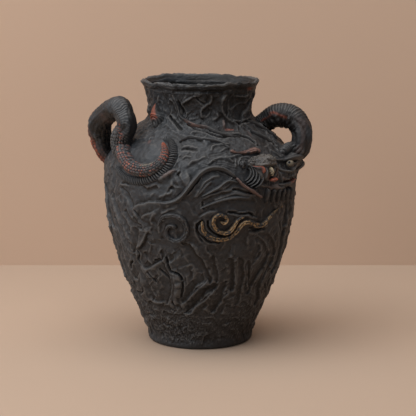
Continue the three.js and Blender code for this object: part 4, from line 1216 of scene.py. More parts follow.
def tint(name, description, default):
    """A colour that a user can change."""
    return bpy.props.FloatVectorProperty(
        name=name, description=description, subtype="COLOR", size=3, min=0, max=1,
        default=default)


def distance(name, description, default):
    """A length that a user can change."""
    return bpy.props.FloatProperty(
        name=name, description=description, default=default, unit="LENGTH", subtype="DISTANCE")


class JarColours(bpy.types.PropertyGroup):
    """Colours of the clay and its pigments."""

    charcoal: tint("Charcoal", "The dark wash over the whole jar", (0.030, 0.0355, 0.042))
    # Umber is a browner clay and also painted shade: it darkens the jar towards the right and the
    # bottom, with a warm painted bounce, and darkens its hollows.
    umber_shade: tint("Umber", "The browner clay low on the right", (0.0165, 0.0125, 0.0105))
    # Worn edge is both wear and a painted highlight: the ridges are lightened towards it.
    worn: tint("Worn edge", "Where the wash is rubbed off the ridges", (0.125, 0.122, 0.118))
    red: tint("Red slip", "Red on scales, lips and tail tip", (0.33, 0.085, 0.045))
    rose: tint("Rose slip", "Dusty pink on brow and strands", (0.19, 0.11, 0.09))
    bone: tint("Bone slip", "Pale eye and fang", (0.36, 0.30, 0.20))
    gold: tint("Gilt", "Dull gold on the cloud", (0.33, 0.215, 0.105))


class JarStudio(bpy.types.PropertyGroup):
    """The floor, the backdrop, the lamps and the camera."""

    floor: tint("Floor", "Colour of the floor", (0.46, 0.345, 0.26))
    backdrop: tint("Backdrop", "Colour of the backdrop", (0.60, 0.43, 0.315))
    backdrop_distance: distance(
        "Backdrop distance", "From the jar's axis to the backdrop", 0.39)
    side_power: bpy.props.FloatProperty(
        name="Side light", description="Power of the large lamp at the left",
        default=35.0, unit="POWER")
    top_power: bpy.props.FloatProperty(
        name="Top light", description="Power of the large lamp overhead",
        default=29.0, unit="POWER")
    camera_distance: distance("Camera distance", "In front of the jar's axis", 1.7)
    camera_height: distance("Camera height", "Above the floor", 0.455)
    camera_tilt: bpy.props.FloatProperty(
        name="Camera tilt", description="Down from level", default=math.radians(10.1),
        unit="ROTATION", subtype="ANGLE")
    lens: bpy.props.FloatProperty(
        name="Lens", description="Focal length on a 36 mm sensor", default=129.9)


CAMERA_SIDE = 0.009
SENSOR_WIDTH = 36
STAGE_HALF = 2.2
STAGE_FRONT = -3
BACKDROP_TOP = 2.6
AIR_COLOUR = (0.9, 0.92, 1.0, 1)
AIR_STRENGTH = 0.19
LAMP_AIM = np.array([0, 0, 0.15])

# Place, size and colour of each lamp
SIDE_LAMP = (-1.6, -0.6, 1.35), 2.6, (0.97, 0.98, 1.0)
TOP_LAMP = (-0.15, -0.4, 1.9), 1.8, (1.0, 0.98, 0.96)


def stage_plane(name, corner_low, corner_high, colour):
    """A plain plane of the studio between two corners of a box."""
    low, high = np.array(corner_low), np.array(corner_high)
    plane, flat = start(name, bpy.ops.mesh.primitive_plane_add, size=2)
    share = (flat[:, (0, 1, 1)] + 1) / 2
    shift(plane.data, low + (high - low) * share)
    n = Nodes(name + "_paint")
    place = n.add("ShaderNodeTexCoord").outputs["Object"]
    cloud = n.noise(place, 3.0, 2.0)
    body = n.mix(n.span(cloud, 0.3, 0.7), rgba(colour, 0.97), rgba(colour))
    shader = n.add("ShaderNodeBsdfPrincipled", {"Base Color": body, "Roughness": 0.8})
    n.add("ShaderNodeOutputMaterial", {"Surface": shader.outputs["BSDF"]})
    plane.data.materials.append(n.material)


def lamp(name, power, place, size, colour):
    """A soft square lamp that points at the jar."""
    bpy.ops.object.light_add(type="AREA", location=place)
    made = bpy.context.object
    made.name = name
    made.data.energy = power
    made.data.size = size
    made.data.color = colour
    x, y, z = LAMP_AIM - np.array(place, float)
    made.rotation_euler = (math.pi / 2 + math.atan2(z, math.hypot(x, y)), 0, math.atan2(-x, y))


class JAR_OT_studio(bpy.types.Operator):
    """Add the floor, the backdrop, the lamps and the camera"""

    bl_idname = "jar.studio"
    bl_label = "Studio"

    def execute(self, context):
        studio = context.scene.jar_studio
        far = studio.backdrop_distance
        left = (-STAGE_HALF, far, 0)
        stage_plane("floor", (-STAGE_HALF, STAGE_FRONT, 0), (STAGE_HALF, far, 0), studio.floor)
        stage_plane("backdrop", left, (STAGE_HALF, far, BACKDROP_TOP), studio.backdrop)
        lamp("side_lamp", studio.side_power, *SIDE_LAMP)
        lamp("top_lamp", studio.top_power, *TOP_LAMP)
        world = bpy.data.worlds.new("studio_air")
        world.use_nodes = True
        air = world.node_tree.nodes["Background"].inputs
        air["Color"].default_value = AIR_COLOUR
        air["Strength"].default_value = AIR_STRENGTH
        context.scene.world = world
        bpy.ops.object.camera_add(
            location=(CAMERA_SIDE, -studio.camera_distance, studio.camera_height),
            rotation=(math.pi / 2 - studio.camera_tilt, 0, 0))
        camera = context.object
        camera.name = "camera"
        camera.data.lens = studio.lens
        camera.data.sensor_width = SENSOR_WIDTH
        context.scene.camera = camera
        context.scene.view_settings.view_transform = "Standard"
        return {"FINISHED"}


class JAR_OT_pot(bpy.types.Operator):
    """Model the foot, the four rings of the wall and the lip"""

    bl_idname = "jar.pot"
    bl_label = "Pot"

    def execute(self, context):
        shape_wall()
        parts = wall_skin()
        place_piece(foot_piece(parts), "foot_slab")
        for node, low, high in (
            ("lower_wall", FOOT_TOP, LOWER_JOINT), ("belly_wall", LOWER_JOINT, BELLY_JOINT),
            ("shoulder_wall", BELLY_JOINT, SHOULDER_JOINT),
            ("neck_collar", SHOULDER_JOINT, RIM_JOINT),
        ):
            place_piece(ring_piece(node + "_clay", low, high, parts), node)
        place_piece(rim_piece(parts), "rim_coil")
        return {"FINISHED"}


TAIL_LOOP = (
    (-60, 15, 31), (-63, 12, 39.5), (-64.1, 11.2, 47), (-61.3, 11.6, 54.8), (-58.5, 13.7, 63),
    (-58.3, 14.4, 70.8), (-61, 14.7, 77), (-65.3, 13.7, 81.9), (-71.7, 10.8, 82.6),
    (-79.1, 4.1, 76.8), (-85.4, -2.5, 67), (-90, -5.5, 56.8), (-92.5, -4.1, 44.7),
    (-94.1, -1.7, 32.7), (-95.5, 5.8, 20.8), (-96, 13.2, 10.4),
)
TAIL_RADII = (10, 10.4, 10.9, 10.4, 13.7, 12.4, 12, 12.9, 10.8, 9.2, 8)
NECK_LOOP = (
    (93, 52, 50), (92, 36.4, 62.3), (89.5, 25.7, 69.6), (87.5, 13.9, 72.5), (85.6, 4.7, 70),
    (83, -2.8, 63.8), (81.5, -6.9, 56), (80, -7.6, 47.3), (80.1, -4.1, 37.1), (81.1, 7.5, 26.5),
)
NECK_RADII = (9.5, 11.4, 13.6, 12.4, 11.3, 10)


def bell(value, half):
    """1 at zero and falling off on both sides."""
    return np.exp(-(value / half) ** 2)


def round_noise(turn, along, cells, seed):
    """Noise over a limb that meets itself after a whole turn."""
    return speckle(turn / (2 * np.pi) * cells, along, seed, cells)


def tail_limb(s, turn, share, outward):
    """Surface of the left loop: a net of scales at its foot, fine ribs up its front, a smooth knee,
    and a scaly rear with red streaks. Its inner side, from above the foot to the rear, and the
    underside along the knee are darkened as painted shade, and its ribs and scales carry painted
    highlights."""
    aside, away, up = np.moveaxis(outward, -1, 0)
    front = smooth(0.42, 0.37, share)
    rear = smooth(0.54, 0.64, share)
    knee = 1 - np.maximum(front, rear)
    foot = smooth(0.21, 0.15, share)
    net = smooth(0.1, 0.5, scales(s, turn / (2 * np.pi), 3.2, 22))
    arched = s / 2.1 + 1.6 * aside ** 2 + 0.9 * round_noise(turn, s / 6, 9, 6)
    ribs = rolls(arched) * (front - foot) * smooth(0.55, 0.2, aside)
    ribs = ribs * smooth(-0.9, 0.1, round_noise(turn, s / 5, 10, 15))
    coarse = scales(s, turn / (2 * np.pi), 4.2, 16)
    rough = round_noise(turn, s / 5, 14, 3)
    combed = round_noise(turn, s / 30, 40, 12)
    extra = 0.9 * ribs + 1.3 * foot * net + rear * (0.8 * coarse + 0.9 * rough) + 0.4 * combed
    extra = extra + 0.9 * round_noise(turn, s / 13, 6, 5) + 0.35 * round_noise(turn, s / 2.5, 30, 9)
    # Painted shade, laid through the edge value: the rear's inner side, the underside along the knee
    # and the inner side above the foot.
    shade = smooth(0.48, 0.58, share) * smooth(0.0, 0.35, aside)
    below = smooth(0.0, -0.4, up) * band(share, 0.3, 0.4, 0.6, 0.7)
    shade = np.maximum(shade, below)
    shade = np.maximum(shade, smooth(0.3, 0.75, aside) * smooth(0.2, 0.26, share))
    # lit lightens the ribs and scales with painted highlights and darkens between them as painted
    # shade.
    lit = 2.0 * ribs - 0.9 * (front - foot) + foot * (2.5 * net - 1.5)
    lit = lit + rear * (1.2 * coarse - 0.6 + 0.6 * rough)
    edge = lit + knee * (0.5 * combed - 0.1) - 1.8 * shade
    streak = smooth(0.0, 0.5, round_noise(turn, s / 24, 12, 7)) * smooth(0.25, -0.1, aside)
    red = rear * streak * 0.9 * smooth(0.15, 0.5, coarse)
    line = np.interp(share, [0.08, 0.11, 0.14, 0.21, 0.27], [0.2, 0.1, -0.1, -0.6, -0.8])
    specks = smooth(0.3, 0.6, net * round_noise(turn, s / 1.8, 40, 22))
    beads = smooth(0.5, 0.8, np.sin(2 * np.pi * s / 4))
    dots = bell(aside - line, 0.28) * specks
    dots = dots + bell(aside - line, 0.1) * beads
    dots = dots * smooth(0.27, 0.22, share) * smooth(0.25, -0.2, away)
    warm = 0.2 * bell(share - 0.5, 0.03) * smooth(0.2, -0.3, up)
    return extra, edge, {RED: np.clip(red + 0.8 * dots, 0, 1), ROSE: warm}


def neck_limb(s, turn, share, outward):
    """Surface of the right loop: uneven cross ribs over its top, with painted highlights on them and
    painted shade in their grooves, flat facets down its right, and a torn underside, darkened as
    painted shade, with red along its edge."""
    back = np.cos(turn)
    away = outward[..., 1]
    wander = 0.45 * round_noise(turn, s / 7, 6, 6)
    ribs = rolls(s / 2.6 + wander)
    ribs = ribs * smooth(-1.3, -0.1, round_noise(turn, s / 6, 9, 16))
    top = smooth(-0.05, 0.4, back) * smooth(0.68, 0.5, share)
    under = smooth(0.15, -0.15, back) * smooth(0.8, 0.6, share)
    facet = smooth(0.5, 0.64, share)
    torn = round_noise(turn, s / 3.2, 18, 8) + 0.5 * round_noise(turn, s / 1.6, 30, 18)
    flats = np.abs(np.sin(2.5 * turn + s / 11))
    extra = top * (0.8 * ribs - 0.3) + 1.2 * under * torn - 1.1 * facet * (1 - flats) ** 2
    extra = extra + 0.8 * round_noise(turn, s / 12, 6, 5) + 0.4 * round_noise(turn, s / 2.4, 32, 7)
    hair = smooth(0.8, 0.86, share)
    locks = np.abs(np.sin(8 * turn + round_noise(turn, s / 9, 6, 19))) ** 0.7 * hair
    extra = extra + 1.5 * locks
    # Through the edge value: painted highlights on the ribs and locks, and painted shade in the
    # grooves between them and over the underside.
    edge = top * (2.0 * ribs - 1.1) + under * (0.9 * torn - 1.2) + facet * (0.9 * flats - 0.75)
    edge = edge + 2.2 * locks - hair
    low = bell(back - 0.1, 0.09) * band(share, 0.08, 0.12, 0.27, 0.33)
    sloping = np.interp(share, [0.28, 0.34, 0.4, 0.5], [0.42, 0.2, -0.12, -0.2])
    high = bell(back - sloping, 0.12) * smooth(0.26, 0.29, share)
    line = (low + high * smooth(0.53, 0.47, share)) * smooth(0.3, -0.2, away)
    line = line * smooth(-0.8, -0.2, round_noise(turn, s / 6, 6, 17))
    worn = 0.15 * facet * smooth(0.1, 0.6, round_noise(turn, s / 8, 12, 8))
    return extra, edge, {RED: 0.65 * line, ROSE: worn}


class JAR_OT_handles(bpy.types.Operator):
    """Model the two loops of the dragon's body that serve as handles"""

    bl_idname = "jar.handles"
    bl_label = "Handles"

    def execute(self, context):
        for name, places, radii, limb, centre in (
            ("tail_loop", TAIL_LOOP, TAIL_RADII, tail_limb, (-96, -24, 236)),
            ("neck_loop", NECK_LOOP, NECK_RADII, neck_limb, (96, -8, 238)),
        ):
            piece = loop_tube(name + "_clay", places, radii, limb, centre)
            place_piece(piece, name + "_handle")
        return {"FINISHED"}


BODY_COIL = (
    (-27, 48.5), (-23.6, 41.5), (-22.6, 34.5), (-25, 27), (-30.2, 22), (-36.5, 20.8), (-44.4, 23.5),
    (-51.2, 29.5), (-57.4, 36), (-62.5, 43),
)
CREST = (
    (-31, 54.5), (-24, 52.4), (-19.2, 46.3), (-17.6, 38.8), (-18.6, 30), (-22.2, 21.7), (-28, 14.1),
    (-35.8, 9.7), (-46, 9.7), (-54.2, 14.4), (-62.6, 22.1),
)


def coil_shape(s, q, share, length):
    """Rows of scales over a full round body, and slits between the fins of its outer side."""
    along = s + 1.2 * speckle(s / 5, q * 2, 10)
    cell = smooth(0.1, 0.5, scales(along, (q + 1) / 2, 3.2, 6))
    high = np.interp(share, [0, 0.3, 1], [4, 7.5, 10])
    fine = 0.3 * speckle(s / 3, q * 3, 2)
    fins = np.interp(share, [0.5, 0.6], [0, 1]) * smooth(0.15, 0.6, -q)
    slits = rolls(s / 6 - 0.8 * q) ** 0.6
    # Edge value: the scales' raised ends lighter with a painted highlight, and the hollows between
    # the scales and the slits between the fins darker as painted shade.
    edge = 2.6 * cell - 1.6 + 0.5 * speckle(s / 5, q * 2, 3) - 1.5 * fins * (1 - slits)
    return high * rounded(q) + 1.5 * cell + fine - 2.5 * fins * (1 - slits), edge


def coil_paint(s, q, share, length):
    """Orange at the thin end, then red ribs, red patches, sparks of red and a row of dots."""
    cell = scales(s, (q + 1) / 2, 3.2, 6)
    ribs = smooth(-0.2, 0.5, np.sin(2 * np.pi * s / 3.4)) * band(share, 0.07, 0.1, 0.2, 0.28)
    tip = smooth(0.1, 0.06, share)
    patchy = smooth(0.1, 0.5, speckle(s / 3, q * 2.4, 6)) * smooth(0.2, 0.6, cell)
    patchy = patchy * band(share, 0.5, 0.58, 0.72, 0.82)
    sparks = smooth(0.25, 0.5, speckle(s / 1.6, q * 4.5, 8)) * smooth(0.2, 0.3, share)
    sparks = sparks * smooth(0.3, 0.6, cell)
    dots = bell(q - 0.1, 0.14) * smooth(0.3, 0.7, np.sin(2 * np.pi * s / 5))
    dots = dots * smooth(0.72, 0.8, share)
    pale = smooth(-0.3, -0.55, q) * band(share, 0.3, 0.34, 0.44, 0.5)
    pale = pale * smooth(-0.2, 0.2, speckle(s / 3, q * 3, 9))
    red = (tip + 0.8 * ribs + 0.6 * patchy + 0.7 * sparks + 0.9 * dots) * smooth(1.0, 0.9, share)
    return {RED: np.clip(red, 0, 1), BONE: 0.3 * pale}


def crest_shape(s, q, share, length):
    """A row of blunt spines, of uneven width."""
    uneven = 0.35 * speckle(s / 5, 0 * q, 41)
    rib = rolls(s / 2.7 + 0.4 * q + uneven) ** 0.9
    high = np.interp(share, [0, 0.1, 0.9, 1], [1.5, 3.4, 3.4, 1.5])
    return high * rounded(q) * (0.1 + rib), np.clip(2.6 * rib - 1.6, -1, 1) * rounded(q)


class JAR_OT_coil(bpy.types.Operator):
    """Model the coiled body on the shoulder and the crest of spines round it"""

    bl_idname = "jar.coil"
    bl_label = "Body coil and crest"

    def execute(self, context):
        lay("body_coil", BODY_COIL, (1.8, 5.0, 7.0, 7.7, 8.2, 8.6), coil_shape, coil_paint,
            step=0.45)
        lay("dorsal_crest", CREST, (3, 4.8, 4.8, 4.8, 3), crest_shape, step=0.5)
        return {"FINISHED"}


def bud_shape(s, q, share, length):
    """A bud with arched ribs over its upper part."""
    rib = rolls((s - 6 * q * q) / 4.2) * smooth(0.25, 0.45, share)
    high = np.interp(share, [0, 0.25, 0.5, 0.8, 1], [3, 8, 9.5, 9.5, 5])
    return high * rounded(q, 2.0) + 1.2 * rib, 2.4 * rib - 1.3


def bud_paint(s, q, share, length):
    """Red over the foot of the bud and on its ribs, on the lit side."""
    lit = band(q, -1.1, -0.7, 0.5, 0.72)
    ribs = smooth(0.35, 0.8, rolls((s - 6 * q * q) / 4.2))
    lower = smooth(0.5, 0.3, share) + ribs * band(share, 0.3, 0.5, 0.7, 0.85)
    return {RED: lit * np.clip(lower, 0, 1)}


class JAR_OT_tail_tip(bpy.types.Operator):
    """Model the red tip of the tail"""

    bl_idname = "jar.tail_tip"
    bl_label = "Tail tip"

    def execute(self, context):
        route = ((-54.5, 89), (-52.6, 79), (-47.4, 62.5))
        lay("tail_tip", route, (1.5, 5.2, 8.4, 8.6, 5), bud_shape, bud_paint, "red_slip",
            step=0.5, seat=0.1)
        return {"FINISHED"}


def strand(high, grooves=0, seed=0):
    """A strand of clay with grooves along it, thinner at its ends."""
    profile = np.array(high, float)
    most = float(profile.max())

    def shape(s, q, share, length):
        lines = np.cos(np.pi * grooves * q) * 0.12 * most if grooves else 0
        wander = 0.12 * most * speckle(s / 5, q * 2, seed)
        top = np.interp(share, np.linspace(0, 1, len(profile)), profile)
        return top * rounded(q) + lines + wander, 1.4 * rounded(q) - 0.75
    return shape


def all_over(channel, amount):
    """Pigment over the whole of a strip, worn in patches."""
    def paint(s, q, share, length):
        worn = smooth(-0.9, 0.1, speckle(s / 4, q * 1.6, 1))
        return {channel: amount * worn * smooth(1.1, 0.7, np.abs(q))}
    return paint


def rosy_middle(s, q, share, length):
    """Rose slip on the middle of a lock."""
    worn = smooth(-0.8, 0.2, speckle(s / 4, q * 1.6, 5))
    return {ROSE: 0.6 * worn * band(share, 0.3, 0.38, 0.56, 0.66)}


class JAR_OT_whisker(bpy.types.Operator):
    """Model the long whisker and its root"""

    bl_idname = "jar.whisker"
    bl_label = "Whisker"

    def execute(self, context):
        root = ((37.5, -8.4), (31.2, -0.6), (25.6, 6.1), (21, 15.2))
        lay("whisker_root", root, (1.4, 2, 1.9, 1.5), strand((5, 6, 5, 4), 0, 3),
            all_over(ROSE, 0.6), "rose_slip")
        sweep = ((21.3, 15.5), (16.5, 22), (11.8, 25.4), (6, 25.1), (1.4, 21.5), (-2.6, 14),
                 (-6.6, 4.3), (-10.6, -4.6), (-15, -9.9), (-20, -12), (-26, -11.6))
        lay("whisker", sweep, (2, 2.8, 3, 2.6, 1.6), strand((3.5, 5, 5, 4, 1.5), 2, 4))
        return {"FINISHED"}


MANE_LOCKS = (
    ((-26.4, 98), (-25, 93), (-23, 86.4), (-20.6, 77.5), (-14.6, 71.8), (-5.6, 67.6), (7, 64.8),
     (13.5, 61), (21, 57.5), (35, 54.5)),
    ((-16, 51.5), (-8, 55.5), (4, 53.5), (16, 50.5), (21, 44)),
    ((58, 70), (68, 63), (76, 55), (80, 46)),
    ((50, 60), (58, 52), (64, 43)),
)
WAVE_FOLDS = (
    ((22.5, 10), (16, 12), (11, 6), (6, 1), (1, -4)),
    ((31, -9), (22, -6), (13, -8), (5, -13), (0, -17)),
)


class JAR_OT_mane(bpy.types.Operator):
    """Model the locks of mane and the wave folds under the whisker"""

    bl_idname = "jar.mane"
    bl_label = "Mane and waves"

    def execute(self, context):
        for name, routes, seed in (("mane_lock", MANE_LOCKS, 10), ("wave_fold", WAVE_FOLDS, 20)):
            for i, route in enumerate(routes, 1):
                node = "%s_%d" % (name, i)
                lay(node, route, (1, 2, 2, 1), strand((1.5, 3, 3, 1.5), 1, seed + i),
                    rosy_middle if node == "mane_lock_1" else None)
        return {"FINISHED"}


def spiral(centre, start, end, begin, sweep):
    """A flat spiral route on the wall, as in the CAD."""
    steps = max(4, round(abs(sweep) / 40))
    route = []
    for i in range(steps + 1):
        turn = math.radians(begin + sweep * i / steps)
        radius = start + (end - start) * i / steps
        round_by = radius * math.cos(turn) / math.radians(LINE_R.max())
        route.append((centre[0] + round_by, centre[1] + radius * math.sin(turn)))
    return route


def cloud_shape(high, groove):
    """A cloud scroll: raised borders with a groove between them."""
    def shape(s, q, share, length):
        rolled = rounded(q, 2.6)
        line = bell(q - 0.1, 0.2) * groove
        pitted = 0.5 * speckle(s / 2.2, q * 2.5, 31) + 0.35 * speckle(s / 1.1, q * 4, 32)
        fall = np.interp(share, [0, 0.75, 1], [1, 1, 0.4])
        # worn is the edge value: the borders rubbed lighter, as wear with a painted highlight, and
        # the groove and pits darkened as painted shade.
        worn = 1.3 * rolled - 0.8 - 2 * line + 0.8 * pitted
        return fall * high * (rolled - line) + pitted, worn
    return shape


def gilded(s, q, share, length):
    """Gold left on the high places only, in spots."""
    spots = smooth(-0.45, 0.3, speckle(s / 1.7, q * 3, 33) + 0.4 * speckle(s / 6, q, 34))
    return {GOLD: 0.85 * spots * smooth(1.0, 0.6, np.abs(q))}


GILT_CLOUD = (
    (11.8, -31.4), (14, -33.6), (15.6, -30.6), (14.6, -26.4), (11.6, -24), (8.8, -26.2),
    (7.8, -31.4), (8.6, -37.4), (11, -42.4), (14.2, -44.8), (17.4, -43.4), (19.6, -38.8),
    (21.4, -33.4), (23.6, -29.6), (26.6, -27.6),
)
GILT_TAIL = (
    (1.4, -31), (1.8, -39.7), (4.2, -46.4), (8.4, -50.6), (13.4, -51.6), (18, -49.8), (21.4, -44.6),
    (23.8, -38.6), (26.6, -34.6), (30, -34.6), (34.4, -38.5), (38, -39.7), (41, -38.1), (43.4, -34.2),
    (46, -30.2), (49.6, -27), (53.4, -24.2),
)


class JAR_OT_clouds(bpy.types.Operator):
    """Model the dark cloud scroll and the gilded one with its tail"""

    bl_idname = "jar.clouds"
    bl_label = "Clouds"

    def execute(self, context):
        dark = spiral((-15, -42), 3.5, 20, 30, 500)
        lay("dark_cloud", dark, (2, 3, 3.4, 1.5), cloud_shape(4.2, 0.15), None, "smooth_charcoal")
        lay("gilt_cloud", GILT_CLOUD, (1.8, 2.5, 2.8, 2.9, 1.6), cloud_shape(4.6, 0.1), gilded,
            "gilt", step=0.45)
        lay("gilt_cloud_tail", GILT_TAIL, (2.0, 2.9, 2.9, 2.9, 3.4, 2.5, 1),
            cloud_shape(4.2, 0.25), gilded, "gilt", step=0.45)
        return {"FINISHED"}


def rough_clay(seed, height):
    """Uneven clay for a lump."""
    def detail(p):
        u, v = p[:, 0] * 3.0, p[:, 1] * 3.0
        moved = height * speckle(u + 9, v + 9, seed)
        moved = moved + 0.4 * height * speckle(u * 3, v * 3, seed + 1)
        return moved, moved / height
    return detail


# The face: the mass under all its parts, as angle, rise, half width, half height and thickness
FACE_MASS = (
    (42, 21, 14, 14, 11), (60, 12, 20, 13, 8.5), (74, 23, 26, 9, 11), (88, 16, 18, 7, 11),
    (52, 0, 18, 6, 5),
)


def face_mass(px, py):
    """How far the clay of the head stands off the wall."""
    total = 0
    for angle, rise, across, up, high in FACE_MASS:
        total = total + (high * oval(px, py, angle, rise, across, up)) ** 4
    return total ** 0.25


HEAD_RADIUS = 110


def grit_on(px, py, size, seed):
    """Uneven clay on a patch."""
    u, v = px * HEAD_RADIUS / size, py * HEAD_RADIUS / size
    return speckle(u, v, seed) + 0.5 * speckle(2.3 * u, 2.3 * v, seed + 1)


def muzzle_height(px, py):
    """The snout from the nose to the chin, with its open mouth."""
    high = face_mass(px, py) + 0.4 * grit_on(px, py, 3.0, 21)
    high = high - 3.5 * oval(px, py, 42, 14.5, 4.2, 6) - 4.5 * oval(px, py, 43, 20.6, 2.7, 1.7, 2)
    return high + draw(px, py, (
        (((46.8, 24), (48, 18.7), (49.4, 12.9), (47.2, 5.4)), 1.5, 2.4),
        (((38, 21.6), (38.4, 17.9), (38.4, 11)), 1.0, 2.4),
        (((30.2, 28.3), (32.6, 25), (35.2, 22.4), (38.2, 21)), 1.2, 2.0),
        (((35.5, 10.6), (39.2, 8.1), (43, 6.9), (47.4, 7.3)), 1.3, -6.0),
        (((46.6, 20), (46.2, 16.4), (44.8, 12.5)), 1.5, -5.0),
        (((36.2, 5.2), (39.8, 3.4), (43.8, 2), (49.6, 0), (56, 0.2)), 1.6, 1.8),
        (((39, 1), (41, -3), (41.5, -7)), 1.0, -1.6),
        (((45, 0), (46.5, -3), (46.5, -7)), 1.0, -1.6),
    ))


def muzzle_paint(px, py):
    """Rosy flesh in the mouth and brown on the snout's side and chin."""
    flesh = oval(px, py, 41, 13.2, 1.9, 3.2)
    brown = 0.3 * oval(px, py, 48.8, 13, 3.5, 12) + 0.25 * oval(px, py, 44, 1.5, 12, 3)
    return {ROSE: np.clip(flesh + brown, 0, 1)}


def cheek_height(px, py):
    """The right of the head: eye socket, cheek plate and jaw."""
    high = np.maximum(face_mass(px, py) - 0.5, lift_at(px, py)) + 0.45 * grit_on(px, py, 2.6, 25)
    high = high - 4.2 * oval(px, py, 59, 20.2, 8.5, 5.0)
    plate = oval(px, py, 56.5, 10.5, 12, 6)
    leaning, crossing = np.abs(np.sin(px * 62 + 1.5)), np.abs(np.sin(py * 70 + px * 30))
    high = high + plate * 0.8 * leaning * crossing
    return high + draw(px, py, (
        (((50.2, 24.3), (51, 19.4), (55.2, 15.4), (63.2, 14.6), (70, 17.4)), 1.2, 2.8),
        (((50, 26.4), (53, 25.8), (59, 24.2), (70, 21.8)), 1.1, -3.2),
        (((87, 19), (82.5, 14.5), (77, 11.5)), 1.0, -3.0),
        (((49, 5.6), (53.8, 5), (59.8, 5.2), (65, 5.8), (70, 7.6)), 1.1, -3.5),
        (((60, 9), (67, 10), (74, 13)), 1.0, 1.4),
        (((58, 7.4), (66, 8), (72, 10.4)), 0.9, -1.4),
        (((54.4, 0.4), (59.8, 1.2), (65.2, 2.4), (71, 5)), 1.4, 1.4),
        (((85, 18), (88, 12), (86, 4)), 1.3, 1.5),
    ))


def cheek_paint(px, py):
    """Red along the jaw and a little rose before it."""
    lip = oval(px, py, 62, 4, 9, 1.5) + oval(px, py, 69, 7.6, 3, 2)
    return {RED: 0.45 * np.clip(lip, 0, 1), ROSE: 0.25 * oval(px, py, 52, 6, 5, 6)}


# The wall's radius behind the nose, and the half size of its painted highlight, a pale fleck, in
# radians
NOSE_RADIUS = 107
HIGHLIGHT_HALF = 1 / 36


def nose_height(px, py):
    """The tip of the nose: a dome of hair over the snout with a rolled rim on its right."""
    x, y = on_chart(39.6, 28.2)
    u, v = (px - x) * NOSE_RADIUS, (py - y) * NOSE_RADIUS
    dome = oval(px, py, 39.8, 28, 15.5, 8, 3)
    hair = np.abs(np.sin(1.9 * u + 0.9 * np.sin(0.5 * v))) * smooth(-4, 0, v)
    dots = 0.9 * speckle(u * 0.9, v * 0.9, 29) + 0.4 * speckle(u * 1.8, v * 1.8, 30)
    high = face_mass(px, py) + 4.2 * dome + 1.1 * hair + dots
    return high + draw(px, py, (
        (((39, 34.6), (43, 33.4), (46.4, 29.6), (48, 24.6)), 0.9, 1.5),
        (((33.4, 25.4), (38.5, 22.9), (43.5, 22.4), (47, 23.6)), 1.0, 1.2),
    ))


def nose_paint(px, py):
    """A painted highlight, a pale fleck, on the rim of the nose, and a breath of gold all over it."""
    x, y = on_chart(45.6, 30.6)
    rim = bell(np.hypot(px - x, py - y), HIGHLIGHT_HALF)
    return {BONE: 0.3 * rim, GOLD: 0.07 * np.ones_like(px)}


def eye_detail(look):
    """An eyeball with a pierced pupil that looks along a direction of its own."""
    aim = unit(np.array(look, float))

    def detail(p):
        apart = np.arccos(np.clip(p @ aim, -1, 1))
        hole = np.exp(-(apart / 0.3) ** 4)
        rim = np.exp(-((apart - 0.42) / 0.12) ** 2)
        # The pupil's low edge value darkens its hole as painted shade.
        return 0.35 * rim - 2.2 * hole, 0.15 - 1.6 * hole
    return detail


def solid_paint(channel):
    """Pigment all over a lump, worn in patches."""
    def paint(p):
        return {channel: smooth(-0.8, 0.3, speckle(p[:, 0] * 3, p[:, 1] * 3, 51))}
    return paint


def eye_paint(look):
    """Bone all over the ball but in the pupil."""
    aim = unit(np.array(look, float))

    def paint(p):
        apart = np.arccos(np.clip(p @ aim, -1, 1))
        return {BONE: 0.42 * smooth(0.36, 0.46, apart) * smooth(1.7, 0.7, apart)}
    return paint


def flat_clay(high, lines, seed):
    """A flat smear of clay, thicker in places, with fine lines along it."""
    steps = np.array(high, float)

    def shape(s, q, share, length):
        flat = rounded(q, 5)
        top = np.interp(share, np.linspace(0, 1, len(steps)), steps)
        fine = 0.3 * np.cos(np.pi * lines * q)
        return top * flat + fine + 0.3 * speckle(s / 3, q * 2, seed), 0.6 * flat - 0.3
    return shape


def lip_paint(s, q, share, length):
    """Red on the outer half of the lip, worn in patches."""
    return {RED: 0.75 * smooth(0.5, 0.7, share) * smooth(-0.7, 0.2, speckle(s / 3, q * 2, 77))}


EYE_LOOK = (-0.89, 0.5, 0.25)
CHEEK_FOLDS = (
    ((30.2, 24.7), (31, 21.3), (30.4, 17.2), (28.6, 13.3), (26.6, 10.9)),
    ((31.8, 25.4), (32.4, 21.3), (32, 16), (29.8, 11.7), (27.2, 8.9)),
    ((33, 23.6), (34, 19.5), (33.6, 14.4), (31.4, 9.3), (28.2, 6.5)),
    ((34.6, 21.3), (35.6, 17.2), (35, 12.1), (33, 7.7), (29.4, 4.6)),
    ((36.6, 16.8), (37.2, 12.1), (35.8, 7.3), (32.2, 3)),
)


